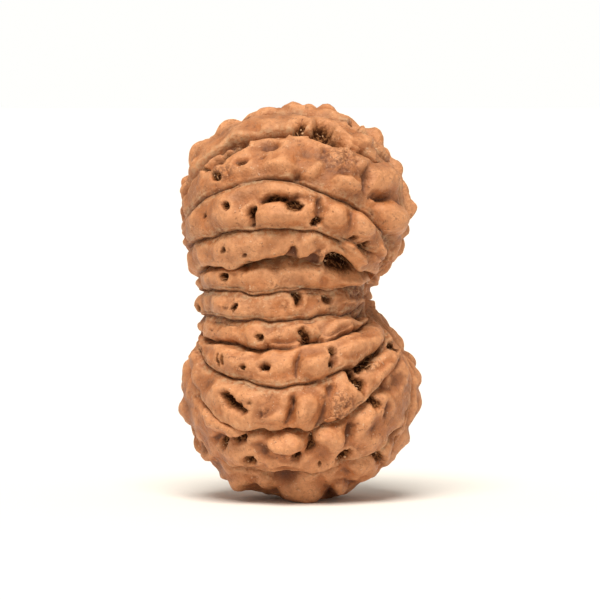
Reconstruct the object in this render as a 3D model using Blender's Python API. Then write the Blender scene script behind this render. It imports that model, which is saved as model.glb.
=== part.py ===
"""Nineteen mukhi rudraksha: the dried stone of one Elaeocarpus fruit, grown in one piece.

The bead is waisted like a peanut and stands on its lower end. Nineteen clefts run
like meridians from a stalk scar on its left side to one on its right side, and the
ribs between them carry lumps, hollows and pits. Lengths below are in millimetres,
with +X to the right, -Y to the front and +Z up, and MM turns them into metres.
"""
import bmesh
import bpy
import math
import numpy as np

MM = 0.001

# The whole bead, and how its middle is brought over the origin
HEIGHT = 39.6
SHIFT = (-0.21, -0.34)

# The waisted body: three rounded masses that melt together, as (centre, half sizes)
UPPER_MASS = ((-0.55, 0.1, 28.65), (11.1, 11.2, 10.05))
LOWER_MASS = ((-0.1, 0.2, 10.75), (11.2, 11.6, 10.45))
WAIST_MASS = ((-2.2, 0.7, 20.5), (7.7, 9.9, 9.5))
MELT = 0.10

# The line inside the body that the ribs turn about, from the left scar to the right one
SCAR_X = -0.8
SCAR_Y = 1.0
SCAR_Z = 20.8
TURNING_LINE = 4.5
TURNING_BEND = 1.6

# The nineteen clefts, from under the bead, up the front, over the top and down the back.
# Each has its angle round the body at the left, middle and right of its run (0 is the
# front, 90 the top), its depth, and the width of its wall above and below
CLEFTS = [
    (-82, -77, -80, 0.9, 0.7, 0.9),
    (-68, -57, -66, 0.9, 0.7, 0.9),
    (-36, -39, -39, 1.0, 0.5, 0.9),
    (-25, -26, -25, 0.7, 0.4, 0.7),
    (-18, -15, -13, 1.1, 0.5, 0.9),
    (-10, -8, -7, 0.6, 0.3, 0.6),
    (0, 1, 2, 0.6, 0.3, 0.5),
    (9, 10, 9.5, 1.2, 0.5, 0.9),
    (20, 19, 17, 0.8, 0.4, 0.7),
    (34, 34, 29, 0.8, 0.5, 0.7),
    (54, 57, 62, 1.1, 0.6, 0.9),
    (72, 76, 76, 0.9, 0.6, 0.8),
    (92, 95, 94, 1.0, 0.8, 0.8),
    (114, 116, 115, 1.1, 0.8, 0.9),
    (141, 140, 139, 1.0, 0.9, 0.8),
    (167, 166, 168, 1.0, 0.8, 0.8),
    (192, 193, 191, 1.0, 0.8, 0.8),
    (219, 220, 221, 1.0, 0.9, 0.8),
    (249, 250, 248, 1.0, 0.8, 0.9),
]
RIB_CROWN = 0.35
WALL_ROOM = 0.46
FADE_WIDTH = 1.6

# Rows of lumps that break up the ribs wherever no single lump is listed below
LUMP_RISE = 0.95
LUMP_SPACING = (2.5, 4.0)
WIDE_RIB = 3.8
FULL_LUMP_WIDTH = 2.2
RIB_RUN = 37.0
FACE_LUMPS = 0.15
SEED = 19

# Where the front is seen from: the places below are measured as they look from there
EYE_TURN = 12.0
EYE_DISTANCE = 500.0
EYE_HEIGHT = 40.0
AIM_HEIGHT = 19.9

# How deep into the bead a form placed that way reaches, as a share of its larger half size
DEPTH_REACH = 1.6

# Lumps of the front, as (across, up, half width, half height, turn, rise)
LUMPS = [
    (4.8, 36.9, 2.7, 1.1, -18, 0.8),
    (7.8, 35.9, 2.4, 0.8, -45, 0.6),
    (-1.7, 33.1, 1.6, 1.2, -8, 0.6),
    (1.2, 33.1, 1.3, 1.2, 0, 0.6),
    (0.9, 35.7, 2.3, 1.2, 0, 0.35),
    (-6.4, 33.4, 2.4, 1.5, 20, 0.4),
    (4.3, 31.3, 1.8, 1.4, -10, 0.7),
    (4.5, 33.9, 2.2, 1.7, -20, 0.4),
    (8.5, 32.1, 1.8, 2.1, 0, 1.0),
    (8.7, 27.9, 1.8, 2.0, 0, 1.1),
    (9.5, 25.1, 1.3, 1.2, 40, 0.6),
    (-2.2, 28.5, 2.5, 1.2, 0, 0.55),
    (-7.4, 28.5, 2.6, 1.5, 8, 0.4),
    (3.5, 28.6, 1.5, 1.7, 0, 0.95),
    (5.8, 27.4, 1.4, 1.7, -20, 0.85),
    (7.5, 25.4, 0.9, 1.1, -30, 0.6),
    (4.5, 25.1, 1.9, 1.0, -35, 0.7),
    (0.9, 22.3, 1.6, 1.2, 0, 0.4),
    (5.4, 22.2, 1.3, 0.8, 0, 0.4),
    (4.5, 17.5, 1.4, 0.8, 10, 0.5),
    (1.4, 13.5, 1.7, 1.3, 0, 0.55),
    (-4.0, 13.4, 3.2, 1.3, 0, 0.3),
    (6.6, 15.8, 3.2, 1.1, 25, 0.55),
    (0.5, 9.1, 1.2, 1.9, 0, 0.8),
    (-5.0, 10.0, 1.5, 1.0, 0, 0.35),
    (5.2, 10.0, 2.6, 1.5, 15, 0.3),
    (-7.2, 7.6, 2.5, 1.2, -24, 0.6),
    (-1.6, 5.8, 2.2, 1.2, 0, 0.75),
    (3.0, 6.2, 2.0, 1.5, 0, 0.7),
    (6.6, 8.0, 1.7, 1.4, 30, 0.6),
    (-6.6, 4.5, 2.3, 1.3, -35, 0.6),
    (1.5, 3.6, 1.6, 1.0, 0, 0.5),
    (-3.0, 4.0, 1.8, 0.9, -5, 0.5),
    (5.5, 3.8, 2.2, 1.2, 25, 0.6),
    (-4.0, 1.9, 1.9, 0.9, -12, 0.6),
    (0.1, 1.2, 2.4, 1.2, 0, 0.7),
    (5.0, 1.9, 2.2, 1.4, 20, 0.8),
    (11.2, 11.6, 1.2, 3.2, 5, 0.8),
    (9.6, 13.2, 1.3, 2.5, 10, 0.6),
    (9.8, 7.4, 1.1, 1.4, -10, 0.7),
    (10.6, 6.2, 0.8, 0.9, 0, 0.6),
    (9.2, 4.1, 1.3, 1.1, 20, 0.6),
    (8.1, 5.4, 1.1, 1.5, 0, 0.6),
    (8.4, 9.8, 1.2, 1.8, 0, 0.6),
    (11.0, 31.7, 0.9, 1.0, 0, 0.8),
    (11.3, 28.4, 0.9, 1.7, 0, 0.8),
    (9.0, 19.1, 0.6, 0.5, 0, 0.9),
    (-11.0, 5.9, 0.9, 0.9, 0, 0.6),
    (-10.0, 4.4, 1.0, 0.8, -30, 0.6),
    (-8.2, 2.9, 1.2, 0.8, -35, 0.6),
    (-7.9, 37.6, 1.2, 0.9, 35, 0.6),
    (-9.8, 36.1, 1.1, 0.9, 45, 0.5),
    (-5.2, 38.9, 0.8, 0.8, 0, 0.7),
    (-3.0, 39.1, 1.1, 0.6, 0, 0.4),
    (-0.9, 39.3, 0.8, 0.8, 0, 0.7),
    (2.4, 39.2, 0.7, 0.7, 0, 0.5),
    (4.2, 38.9, 1.0, 0.8, -10, 0.5),
]

# Soft hollows of the front, as (across, up, half width, half height, turn, depth)
HOLLOWS = [
    (-2.4, 36.7, 2.0, 0.7, 0, 0.5),
    (-2.8, 35.3, 1.3, 0.7, 0, 0.3),
    (0.2, 34.5, 1.2, 0.8, 0, 0.3),
    (0.0, 32.3, 0.7, 0.7, 0, 0.35),
    (6.0, 31.6, 0.6, 1.4, -5, 0.6),
    (7.8, 30.2, 1.1, 0.5, 0, 0.6),
    (9.0, 26.0, 1.0, 0.6, -40, 0.6),
    (-11.6, 28.2, 0.6, 1.2, 0, 0.4),
    (3.7, 23.6, 1.7, 1.1, -35, 0.7),
    (1.5, 24.6, 0.9, 0.5, 0, 0.35),
    (-0.5, 25.2, 0.6, 0.5, 0, 0.35),
    (5.0, 20.9, 1.6, 0.6, 0, 0.3),
    (5.9, 18.4, 1.2, 0.7, 15, 0.5),
    (3.3, 11.0, 1.1, 1.0, 0, 0.5),
    (-0.8, 7.0, 1.0, 0.5, 0, 0.5),
    (1.2, 5.7, 0.6, 0.9, 20, 0.6),
    (-1.5, 2.9, 1.9, 0.6, 0, 0.6),
    (9.4, 11.9, 1.1, 1.2, 0, 0.5),
    (8.3, 9.5, 0.7, 1.2, 0, 0.4),
    (-9.3, 11.6, 0.8, 1.2, 0, 0.3),
]

# Open pits of the front, as (across, up, half width, half height, turn, depth)
PITS = [
    (1.9, 37.2, 0.8, 0.5, -10, 0.9),
    (5.0, 37.9, 0.7, 0.7, 0, 0.8),
    (-8.1, 32.1, 0.7, 0.5, 20, 0.6),
    (-0.6, 29.4, 1.1, 0.6, -30, 1.0),
    (3.7, 23.7, 1.4, 0.8, -35, 1.0),
    (-7.5, 22.2, 0.6, 0.5, 0, 0.8),
    (-0.3, 19.8, 0.7, 0.7, 0, 0.8),
    (0.4, 16.8, 0.9, 0.5, -35, 0.9),
    (5.9, 18.4, 0.8, 0.6, 15, 0.6),
    (-3.3, 13.2, 0.8, 0.6, 0, 0.9),
    (6.4, 13.0, 1.6, 0.9, 42, 1.0),
    (5.9, 11.6, 0.8, 1.1, 20, 0.9),
    (8.9, 15.1, 0.6, 0.7, 0, 0.8),
    (-6.5, 9.7, 1.4, 0.7, -38, 1.1),
    (-7.5, 5.8, 0.5, 0.7, 20, 0.9),
    (-4.8, 4.3, 0.8, 0.6, 0, 0.9),
    (-0.3, 4.6, 0.6, 0.5, 0, 0.8),
    (4.2, 4.3, 0.9, 0.7, 0, 0.9),
    (7.5, 4.4, 0.8, 0.6, -45, 0.9),
]

# Furrows across ribs of the front, as (from across, from up, to across, to up, half width, depth)
FURROWS = [
    (-9.2, 32.7, -6.3, 34.9, 0.6, 0.9),
    (2.6, 36.6, 4.1, 34.7, 0.6, 0.7),
    (-4.8, 29.3, -4.8, 27.2, 0.5, 0.8),
    (-4.8, 29.4, -1.0, 30.2, 0.5, 0.6),
    (-0.3, 14.7, -0.3, 12.2, 0.5, 0.6),
    (-0.6, 10.2, -1.3, 7.4, 0.5, 0.9),
]

# The stalk scars at the two ends of the ribs
SCAR_RADIUS = 1.5
SCAR_DEPTH = 1.3
VALLEY_WIDTH = 2.2
VALLEY_LENGTH = 6.5
VALLEY_DEPTH = 0.7

# The mesh: rings between the scars, and columns of points across each rib, closer at its edges
RINGS = 53
COLUMN_SPACING = 1.02
FEWEST_COLUMNS = 5
EDGE_CROWDING = 0.35

COLOUR = (0.50, 0.26, 0.15, 1.0)
ROUGHNESS = 0.55
SMOOTH_UNDER = 60.0


def clear_scene():
    """Remove what the scene holds."""
    for obj in list(bpy.data.objects):
        bpy.data.objects.remove(obj, do_unlink=True)


def body_value(points):
    """Return how far inside (below 0) or outside (above 0) of the body each point is, and the way out."""
    values = []
    slopes = []
    for centre, half in (UPPER_MASS, LOWER_MASS, WAIST_MASS):
        scaled = (points - np.array(centre)) / np.array(half)
        reach = np.sqrt((scaled * scaled).sum(-1)) + 1e-9
        values.append(reach - 1.0)
        slopes.append(scaled / np.array(half) / reach[..., None])
    values = np.stack(values)
    share = np.exp(-values / MELT)
    total = share.sum(0)
    slope = (share[..., None] * np.stack(slopes)).sum(0)
    slope /= np.linalg.norm(slope, axis=-1, keepdims=True)
    return -MELT * np.log(total), slope


def skin(along, around):
    """Return the points of the plain body at the angle from the left scar and the angle round."""
    lift = TURNING_LINE * np.tanh(TURNING_BEND * np.sin(around)) / math.tanh(TURNING_BEND)
    lift = lift * np.clip(np.sin(along) / math.sin(math.radians(20)), 0, 1)
    start = np.stack([0 * along + SCAR_X, 0 * along + SCAR_Y, SCAR_Z + lift], -1)
    way = np.stack([-np.cos(along), -np.sin(along) * np.cos(around), np.sin(along) * np.sin(around)], -1)
    near = np.zeros(along.shape)
    far = np.full(along.shape, HEIGHT)
    for _ in range(34):
        middle = (near + far) / 2
        inside = body_value(start + way * middle[..., None])[0] < 0
        near = np.where(inside, middle, near)
        far = np.where(inside, far, middle)
    return start + way * near[..., None]


def cleft_angle(number, along):
    """Return the angle round the body of a cleft, along its run."""
    turns, row = np.divmod(number, len(CLEFTS))
    table = np.array([cleft[:3] for cleft in CLEFTS], float)[row]
    left, middle, right = table[..., 0], table[..., 1], table[..., 2]
    run = np.clip((np.degrees(along) - 90) / 45, -1.6, 1.6)
    angle = middle + (right - left) / 2 * run + ((right + left) / 2 - middle) * run * run
    return np.radians(angle + 360.0 * turns)


def picture(points):
    """Return how far across, up and near each point looks from the front eye."""
    turn = math.radians(EYE_TURN)
    back = np.array([math.sin(turn), -math.cos(turn), (EYE_HEIGHT - AIM_HEIGHT) / EYE_DISTANCE])
    back /= np.linalg.norm(back)
    right = np.array([math.cos(turn), math.sin(turn), 0.0])
    upward = np.cross(back, right)
    aim = np.array([0.0, 0.0, AIM_HEIGHT])
    near = (points - aim) @ back
    scale = EYE_DISTANCE / (EYE_DISTANCE - near)
    return (points - aim) @ right * scale, AIM_HEIGHT + (points - aim) @ upward * scale, near, back


def rounded(place):
    """Return the drop of a rounded edge: 1 at the wall, 0 from one width away."""
    place = np.clip(place, 0, 1)
    return 1 - np.sqrt(1 - (1 - place) ** 2)


def soft_step(value, low, high):
    """Return 0 below low and 1 above high, with a smooth rise between."""
    ratio = np.clip((value - low) / (high - low), 0, 1)
    return ratio * ratio * (3 - 2 * ratio)


def clefts(rib, share, width):
    """Return the drop of the surface into the clefts on both sides of a rib."""
    below = np.array([cleft[3:] for cleft in CLEFTS])[rib]
    above = np.array([cleft[3:] for cleft in CLEFTS])[(rib + 1) % len(CLEFTS)]
    room = WALL_ROOM * width + 1e-6
    fade = np.clip(width / FADE_WIDTH, 0, 1)
    lower_wall = rounded(share * width / np.minimum(below[:, 1], room))
    upper_wall = rounded((1 - share) * width / np.minimum(above[:, 2], room))
    return -fade * (below[:, 0] * lower_wall + above[:, 0] * upper_wall)


def lump_rows(rib, share, width, along):
    """Return the rise of the rows of lumps along the ribs."""
    rise = np.zeros(len(rib))
    run = along / math.pi * RIB_RUN
    for number in range(len(CLEFTS)):
        draw = np.random.default_rng(SEED + number)
        here = rib == number
        rows = 2 if width[here].max() > WIDE_RIB else 1
        for row in range(rows):
            ends = np.cumsum(draw.uniform(*LUMP_SPACING, 20)) - draw.uniform(0, 3)
            sizes = draw.uniform(0.55, 1.1, 22)
            place = share * rows - row
            inside = here & (place >= 0) & (place <= 1)
            slanted = run[inside] + draw.uniform(-0.5, 0.5) * (place[inside] - 0.5)
            cell = np.clip(np.searchsorted(ends, slanted), 1, 19)
            middle = (ends[cell] + ends[cell - 1]) / 2
            half = (ends[cell] - ends[cell - 1]) / 2
            lengthways = np.clip(np.abs(slanted - middle) / half, 0, 1)
            crossways = np.abs(2 * place[inside] - 1)
            bump = np.clip(1 - lengthways ** 2.2, 0, 1) * np.clip(1 - crossways ** 2.2, 0, 1)
            rise[inside] = sizes[cell] * bump
    return rise


def spots(seen, facing, table, shape):
    """Return the largest of a table of rounded spots at each point, each placed as the front eye sees it."""
    across, upward, near = seen
    best = np.zeros(len(across))
    for spot_across, spot_up, half_width, half_height, turn, size in table:
        gap = (across - spot_across) ** 2 + (upward - spot_up) ** 2
        centre = np.argmin(np.where(facing > 0.05, gap, 1e6))
        slope = math.radians(turn)
        along = (across - spot_across) * math.cos(slope) + (upward - spot_up) * math.sin(slope)
        aside = (upward - spot_up) * math.cos(slope) - (across - spot_across) * math.sin(slope)
        deep = (near - near[centre]) / (DEPTH_REACH * max(half_width, half_height))
        reach = np.sqrt((along / half_width) ** 2 + (aside / half_height) ** 2 + deep ** 2)
        best = np.maximum(best, size * shape(reach))
    return best


def furrow_lines(seen, facing):
    """Return the depth of the furrows that cross the ribs of the front."""
    across, upward, near = seen
    deepest = np.zeros(len(across))
    for start_across, start_up, end_across, end_up, half_width, depth in FURROWS:
        way = np.array([end_across - start_across, end_up - start_up])
        length = np.hypot(*way)
        place = ((across - start_across) * way[0] + (upward - start_up) * way[1]) / length ** 2
        place = np.clip(place, 0, 1)
        gap = np.hypot(across - start_across - place * way[0], upward - start_up - place * way[1])
        depth_here = depth * np.clip(1 - gap / half_width, 0, 1) ** 1.3
        deepest = np.maximum(deepest, np.where(facing > 0, depth_here, 0))
    return deepest


def scars(points, along):
    """Return the drop of the valley and the stalk scar at each end of the ribs."""
    drop = np.zeros(len(along))
    for pole in (0.0, math.pi):
        close = np.abs(along - pole) < math.pi / 2
        gap_y = points[:, 1] - SCAR_Y
        gap_z = points[:, 2] - SCAR_Z
        valley = np.exp(-(gap_y / VALLEY_WIDTH) ** 2 - (gap_z / VALLEY_LENGTH) ** 2)
        pit = 1 - soft_step(np.hypot(gap_y, gap_z), 0.3 * SCAR_RADIUS, SCAR_RADIUS)
        drop = np.where(close, VALLEY_DEPTH * valley + SCAR_DEPTH * pit, drop)
    return -drop


def dome(reach):
    """Return the height of a lump, with a crease round its foot."""
    return np.clip(1 - reach ** 2, 0, 1) ** 0.8


def bowl(reach):
    """Return the depth of a soft hollow."""
    return np.exp(-1.4 * reach ** 2)


def well(reach):
    """Return the depth of a pit with steep walls."""
    return 1 - soft_step(reach, 0.25, 1.25)


def bead_points(along, around_rib):
    """Return the finished points of the bead, for angles from the left scar and places round the ribs."""
    rib = np.floor(around_rib).astype(int) % len(CLEFTS)
    share = around_rib - np.floor(around_rib)
    lower = cleft_angle(rib, along)
    upper = cleft_angle(rib + 1, along)
    points = skin(along, lower + (upper - lower) * share)
    outward = body_value(points)[1]
    width = np.linalg.norm(skin(along, upper) - skin(along, lower), axis=-1)
    across, upward, near, back = picture(points)
    facing = outward @ back
    seen = (across, upward, near)

    open_side = soft_step(facing, 0.0, 0.35)
    rise = RIB_CROWN * np.sin(math.pi * share) ** 0.8 * np.clip(width / 3, 0, 1)
    rise += clefts(rib, share, width)
    rows = lump_rows(rib, share, width, along) * np.clip(width / FULL_LUMP_WIDTH, 0, 1)
    rise += LUMP_RISE * rows * (1 - (1 - FACE_LUMPS) * open_side)
    rise += spots(seen, facing, LUMPS, dome)
    rise -= spots(seen, facing, HOLLOWS, bowl)
    rise -= spots(seen, facing, PITS, well)
    rise -= furrow_lines(seen, facing)
    rise += scars(points, along)
    points = points + outward * rise[:, None]
    points[:, :2] += np.array(SHIFT)
    points[:, 2] = np.maximum(points[:, 2], 0.0)
    return points


def rib_columns():
    """Return the places round the ribs of the mesh's columns: on each cleft, and between."""
    middle = np.full(len(CLEFTS), math.pi / 2)
    numbers = np.arange(len(CLEFTS))
    lower = skin(middle, cleft_angle(numbers, middle))
    upper = skin(middle, cleft_angle(numbers + 1, middle))
    places = []
    for number, width in enumerate(np.linalg.norm(upper - lower, axis=-1)):
        count = max(FEWEST_COLUMNS, round(width / COLUMN_SPACING))
        even = np.arange(count) / count
        places.extend(number + even - EDGE_CROWDING * np.sin(2 * math.pi * even) / (2 * math.pi))
    return np.array(places)


def make_stone():
    """Build the bead from a sphere whose meridians are the clefts and rib lines."""
    rib_places = rib_columns()
    columns = len(rib_places)
    sphere = bmesh.new()
    bmesh.ops.create_uvsphere(sphere, u_segments=columns, v_segments=RINGS, radius=1.0)
    places = np.array([vertex.co for vertex in sphere.verts])
    along = np.arccos(np.clip(places[:, 2], -1, 1))
    meridian = np.degrees(np.arctan2(places[:, 1], places[:, 0])) / 360 * columns
    column = np.round(meridian).astype(int) % columns
    for vertex, point in zip(sphere.verts, bead_points(along, rib_places[column])):
        vertex.co = point * MM
    if sphere.calc_volume(signed=True) < 0:
        bmesh.ops.reverse_faces(sphere, faces=sphere.faces)
    mesh = bpy.data.meshes.new("rudraksha_stone")
    sphere.to_mesh(mesh)
    sphere.free()
    mesh.shade_smooth()
    mesh.set_sharp_from_angle(angle=math.radians(SMOOTH_UNDER))
    return bpy.data.objects.new("rudraksha_stone", mesh)


def stone_material():
    """Return the warm brown of the dried stone."""
    material = bpy.data.materials.new("dried_stone")
    material.use_nodes = True
    surface = material.node_tree.nodes["Principled BSDF"]
    surface.inputs["Base Color"].default_value = COLOUR
    surface.inputs["Roughness"].default_value = ROUGHNESS
    surface.inputs["Metallic"].default_value = 0.0
    return material


def main():
    """Model the bead."""
    clear_scene()
    collection = bpy.data.collections.new("nineteen_mukhi_rudraksha")
    bpy.context.scene.collection.children.link(collection)
    stone = make_stone()
    stone.data.materials.append(stone_material())
    collection.objects.link(stone)


main()
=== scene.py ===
# %% [markdown]
# # A nineteen mukhi rudraksha, finished in Blender
#
# A rudraksha is the dried stone of a fruit. It grew in one piece, so the solid model is one
# node too. That solid has the size, the clefts and the larger lumps. This lesson makes the
# surface that the eye reads: crisp clefts, folded ribs, torn pits with dry fibres in them,
# and a waxy brown skin with dust in its hollows.
#
# The first cell loads the solid model. The finished surface has to stay inside it.

# %% Load the solid model
import math
import bmesh
import bpy
import numpy as np
from mathutils import Matrix, Vector


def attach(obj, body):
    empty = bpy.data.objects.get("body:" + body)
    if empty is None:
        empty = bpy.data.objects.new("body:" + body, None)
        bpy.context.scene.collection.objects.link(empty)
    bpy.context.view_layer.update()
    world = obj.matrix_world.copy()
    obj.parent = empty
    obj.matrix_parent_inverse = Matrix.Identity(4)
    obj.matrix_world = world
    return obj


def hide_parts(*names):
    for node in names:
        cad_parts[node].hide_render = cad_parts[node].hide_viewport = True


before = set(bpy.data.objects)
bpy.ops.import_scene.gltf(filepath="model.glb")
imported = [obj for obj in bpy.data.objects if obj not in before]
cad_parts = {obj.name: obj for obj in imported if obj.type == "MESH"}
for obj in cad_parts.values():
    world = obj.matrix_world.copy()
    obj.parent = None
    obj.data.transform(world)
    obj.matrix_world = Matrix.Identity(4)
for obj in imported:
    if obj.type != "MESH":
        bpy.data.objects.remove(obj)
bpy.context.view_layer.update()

STONE_NODE = "rudraksha_stone"
BODY = "root"
MM = 0.001

# %% [markdown]
# ## Where the bead is looked at from
#
# The lumps and pits on the front were noted as they look from one place: half a metre away,
# a little to the right and a little above. The camera goes there first, with a long lens,
# and the same numbers place the details later, so the two can't drift apart.

# %% The eye and the camera
EYE_TURN = 12.0
EYE_DISTANCE = 500.0
EYE_HEIGHT = 40.0
AIM_HEIGHT = 19.9
MIDDLE_SHIFT = (-0.21, -0.34)
LENS = 300.0
SENSOR = 36.0

turn = math.radians(EYE_TURN)
eye_back = np.array([math.sin(turn), -math.cos(turn), (EYE_HEIGHT - AIM_HEIGHT) / EYE_DISTANCE])
eye_back /= np.linalg.norm(eye_back)
eye_right = np.array([math.cos(turn), math.sin(turn), 0.0])
eye_up = np.cross(eye_back, eye_right)
aim = np.array([0.0, 0.0, AIM_HEIGHT])

camera_place = aim + eye_back * EYE_DISTANCE + np.array([*MIDDLE_SHIFT, 0.0])
camera_turn = Matrix((eye_right, eye_up, eye_back)).transposed().to_euler()
bpy.ops.object.camera_add(location=Vector(camera_place) * MM, rotation=camera_turn)
camera = bpy.context.object
camera.data.lens = LENS
camera.data.sensor_width = SENSOR
camera.data.clip_start = 0.01
camera.data.clip_end = 50.0
bpy.context.scene.camera = camera
print("camera at, mm:", camera_place.round(1))


def picture(points):
    """Return how far across, up and near each point looks from the front eye."""
    near = (points - aim) @ eye_back
    scale = EYE_DISTANCE / (EYE_DISTANCE - near)
    return (points - aim) @ eye_right * scale, AIM_HEIGHT + (points - aim) @ eye_up * scale, near


# %% [markdown]
# ## The plain body under the relief
#
# The bead is waisted because it grew as two masses with a narrower one between them. Three
# stretched balls that melt into each other give that form. A ball's distance is divided by
# its own half sizes, and a soft minimum of the three distances is zero on the skin.
#
# Each point of the skin has two angles: one along a rib, from the left stalk scar to the
# right one, and one round the body. A ray from inside finds the skin at those two angles.

# %% The three masses and their skin
HEIGHT = 39.6
UPPER_MASS = ((-0.55, 0.1, 28.65), (11.1, 11.2, 10.05))
LOWER_MASS = ((-0.1, 0.2, 10.75), (11.2, 11.6, 10.45))
WAIST_MASS = ((-2.2, 0.7, 20.5), (7.7, 9.9, 9.5))
MELT = 0.10
SCAR_X = -0.8
SCAR_Y = 1.0
SCAR_Z = 20.8
TURNING_LINE = 4.5
TURNING_BEND = 1.6


def body_value(points):
    """Return how far inside (below 0) or outside the body each point is, and the way out."""
    values = []
    slopes = []
    for centre, half in (UPPER_MASS, LOWER_MASS, WAIST_MASS):
        scaled = (points - np.array(centre)) / np.array(half)
        reach = np.sqrt((scaled * scaled).sum(-1)) + 1e-9
        values.append(reach - 1.0)
        slopes.append(scaled / np.array(half) / reach[..., None])
    values = np.stack(values)
    share = np.exp(-values / MELT)
    slope = (share[..., None] * np.stack(slopes)).sum(0)
    slope /= np.linalg.norm(slope, axis=-1, keepdims=True)
    return -MELT * np.log(share.sum(0)), slope


def skin(along, around):
    """Return the points of the plain body at the angle along a rib and the angle round."""
    lift = TURNING_LINE * np.tanh(TURNING_BEND * np.sin(around)) / math.tanh(TURNING_BEND)
    lift = lift * np.clip(np.sin(along) / math.sin(math.radians(20)), 0, 1)
    start = np.stack([0 * along + SCAR_X, 0 * along + SCAR_Y, SCAR_Z + lift], -1)
    way = np.stack([-np.cos(along), -np.sin(along) * np.cos(around), np.sin(along) * np.sin(around)], -1)
    near = np.zeros(along.shape)
    far = np.full(along.shape, HEIGHT)
    for _ in range(24):
        middle = (near + far) / 2
        inside = body_value(start + way * middle[..., None])[0] < 0
        near = np.where(inside, middle, near)
        far = np.where(inside, far, middle)
    return start + way * near[..., None]


# %% [markdown]
# ## The nineteen clefts
#
# "Mukhi" are the clefts that run over the stone like the seams of a pumpkin. Each row below
# is one cleft: its angle at the left, middle and right of its run, its depth, the width of
# the wall above and below it, how far the rib above folds over it, how open it is, how far
# the rib above it is crowned, and how plain a second fine seam runs beside it. An open cleft
# shows a dark gap, a closed one a thin line.

# %% The table of clefts
CLEFTS = [
    (-82, -77, -80, 1.0, 0.5, 0.9, 0.25, 0.4, 0.30, 0.0),
    (-68, -57, -66, 1.1, 0.4, 1.0, 0.35, 0.8, 0.30, 0.0),
    (-36, -39, -39, 1.2, 0.35, 0.9, 0.35, 0.7, 0.35, 0.0),
    (-25, -26, -25, 0.5, 0.35, 0.6, 0.04, 0.4, 0.35, 1.0),
    (-18, -15, -13, 1.2, 0.3, 0.8, 0.35, 0.7, 0.30, 0.0),
    (-10, -8, -7, 0.42, 0.3, 0.5, 0.03, 0.3, 0.25, 1.2),
    (0, 1, 2, 0.42, 0.3, 0.5, 0.03, 0.3, 0.25, 1.2),
    (9, 10, 9.5, 1.6, 0.35, 0.8, 0.35, 1.0, 0.30, 0.0),
    (20, 19, 17, 0.6, 0.3, 0.6, 0.05, 0.2, 0.35, 0.7),
    (34, 34, 29, 0.55, 0.3, 0.9, 0.04, 0.3, 0.35, 0.8),
    (54, 57, 62, 1.0, 0.4, 1.0, 0.25, 0.5, 0.35, 0.0),
    (72, 76, 76, 0.8, 0.35, 0.8, 0.15, 0.2, 0.35, 0.0),
    (92, 95, 94, 0.9, 0.6, 0.8, 0.15, 0.3, 0.35, 0.0),
    (114, 116, 115, 1.1, 0.7, 0.9, 0.20, 0.4, 0.35, 0.0),
    (141, 140, 139, 1.0, 0.8, 0.8, 0.15, 0.3, 0.35, 0.0),
    (167, 166, 168, 1.0, 0.7, 0.8, 0.15, 0.5, 0.30, 0.0),
    (192, 193, 191, 1.0, 0.7, 0.8, 0.20, 0.4, 0.30, 0.0),
    (219, 220, 221, 1.0, 0.8, 0.8, 0.15, 0.3, 0.35, 0.0),
    (249, 250, 248, 1.0, 0.7, 0.9, 0.15, 0.4, 0.35, 0.0),
]
NUMBER_OF_CLEFTS = len(CLEFTS)
WANDER = 1.65
WANDER_WAVES = (3.0, 5.5, 9.0, 17.0, 31.0)


def cleft_angle(number, along):
    """Return the angle round the body of a cleft, which wanders a little along its run."""
    turns, row = np.divmod(number, NUMBER_OF_CLEFTS)
    table = np.array([cleft[:3] for cleft in CLEFTS], float)[row]
    left, middle, right = table[..., 0], table[..., 1], table[..., 2]
    run = np.clip((np.degrees(along) - 90) / 45, -1.6, 1.6)
    angle = middle + (right - left) / 2 * run + ((right + left) / 2 - middle) * run * run
    for wave in WANDER_WAVES:
        angle = angle + WANDER / wave ** 0.7 * np.sin(wave * along + 2.4 * row * wave)
    return np.radians(angle + 360.0 * turns)


print("clefts:", NUMBER_OF_CLEFTS)

# %% [markdown]
# ## The ball that becomes the bead
#
# A UV sphere already has meridians that run from pole to pole, which is just how the ribs
# run. So it is the right primitive: its columns of points are laid along the clefts, closer
# together near each cleft, where the surface turns sharply. The back gets fewer columns
# than the front for the same width, because its forms are larger.

# %% Add the sphere and lay its columns along the ribs
RINGS = 205
COLUMNS_IN_ALL = 484
EDGE_CROWDING = 0.5
BACK_SHARE = 0.5
FIRST_BACK_RIB = 12


def rib_columns():
    """Return the places round the ribs of the columns of points: on each cleft, and between."""
    middle = np.full(NUMBER_OF_CLEFTS, math.pi / 2)
    numbers = np.arange(NUMBER_OF_CLEFTS)
    lower = skin(middle, cleft_angle(numbers, middle))
    upper = skin(middle, cleft_angle(numbers + 1, middle))
    need = np.linalg.norm(upper - lower, axis=-1)
    need[numbers >= FIRST_BACK_RIB] *= BACK_SHARE
    ends = np.round(np.cumsum(need) / need.sum() * COLUMNS_IN_ALL).astype(int)
    counts = np.diff(np.concatenate([[0], ends]))
    places = []
    for number, count in enumerate(counts):
        even = np.arange(count) / count
        places.extend(number + even - EDGE_CROWDING * np.sin(2 * math.pi * even) / (2 * math.pi))
    return np.array(places)


bpy.ops.object.select_all(action="DESELECT")
bpy.ops.mesh.primitive_uv_sphere_add(segments=COLUMNS_IN_ALL, ring_count=RINGS, radius=1.0)
stone = bpy.context.object
stone.name = "stone_surface"
ball = np.empty(len(stone.data.vertices) * 3)
stone.data.vertices.foreach_get("co", ball)
ball = ball.reshape(-1, 3)
along = np.arccos(np.clip(ball[:, 2], -1, 1))
column = np.round(np.arctan2(ball[:, 1], ball[:, 0]) / (2 * math.pi) * COLUMNS_IN_ALL).astype(int)
rib_place = rib_columns()[column % COLUMNS_IN_ALL]
rib = np.floor(rib_place).astype(int)
share = rib_place - rib
print("points:", len(ball))

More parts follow.
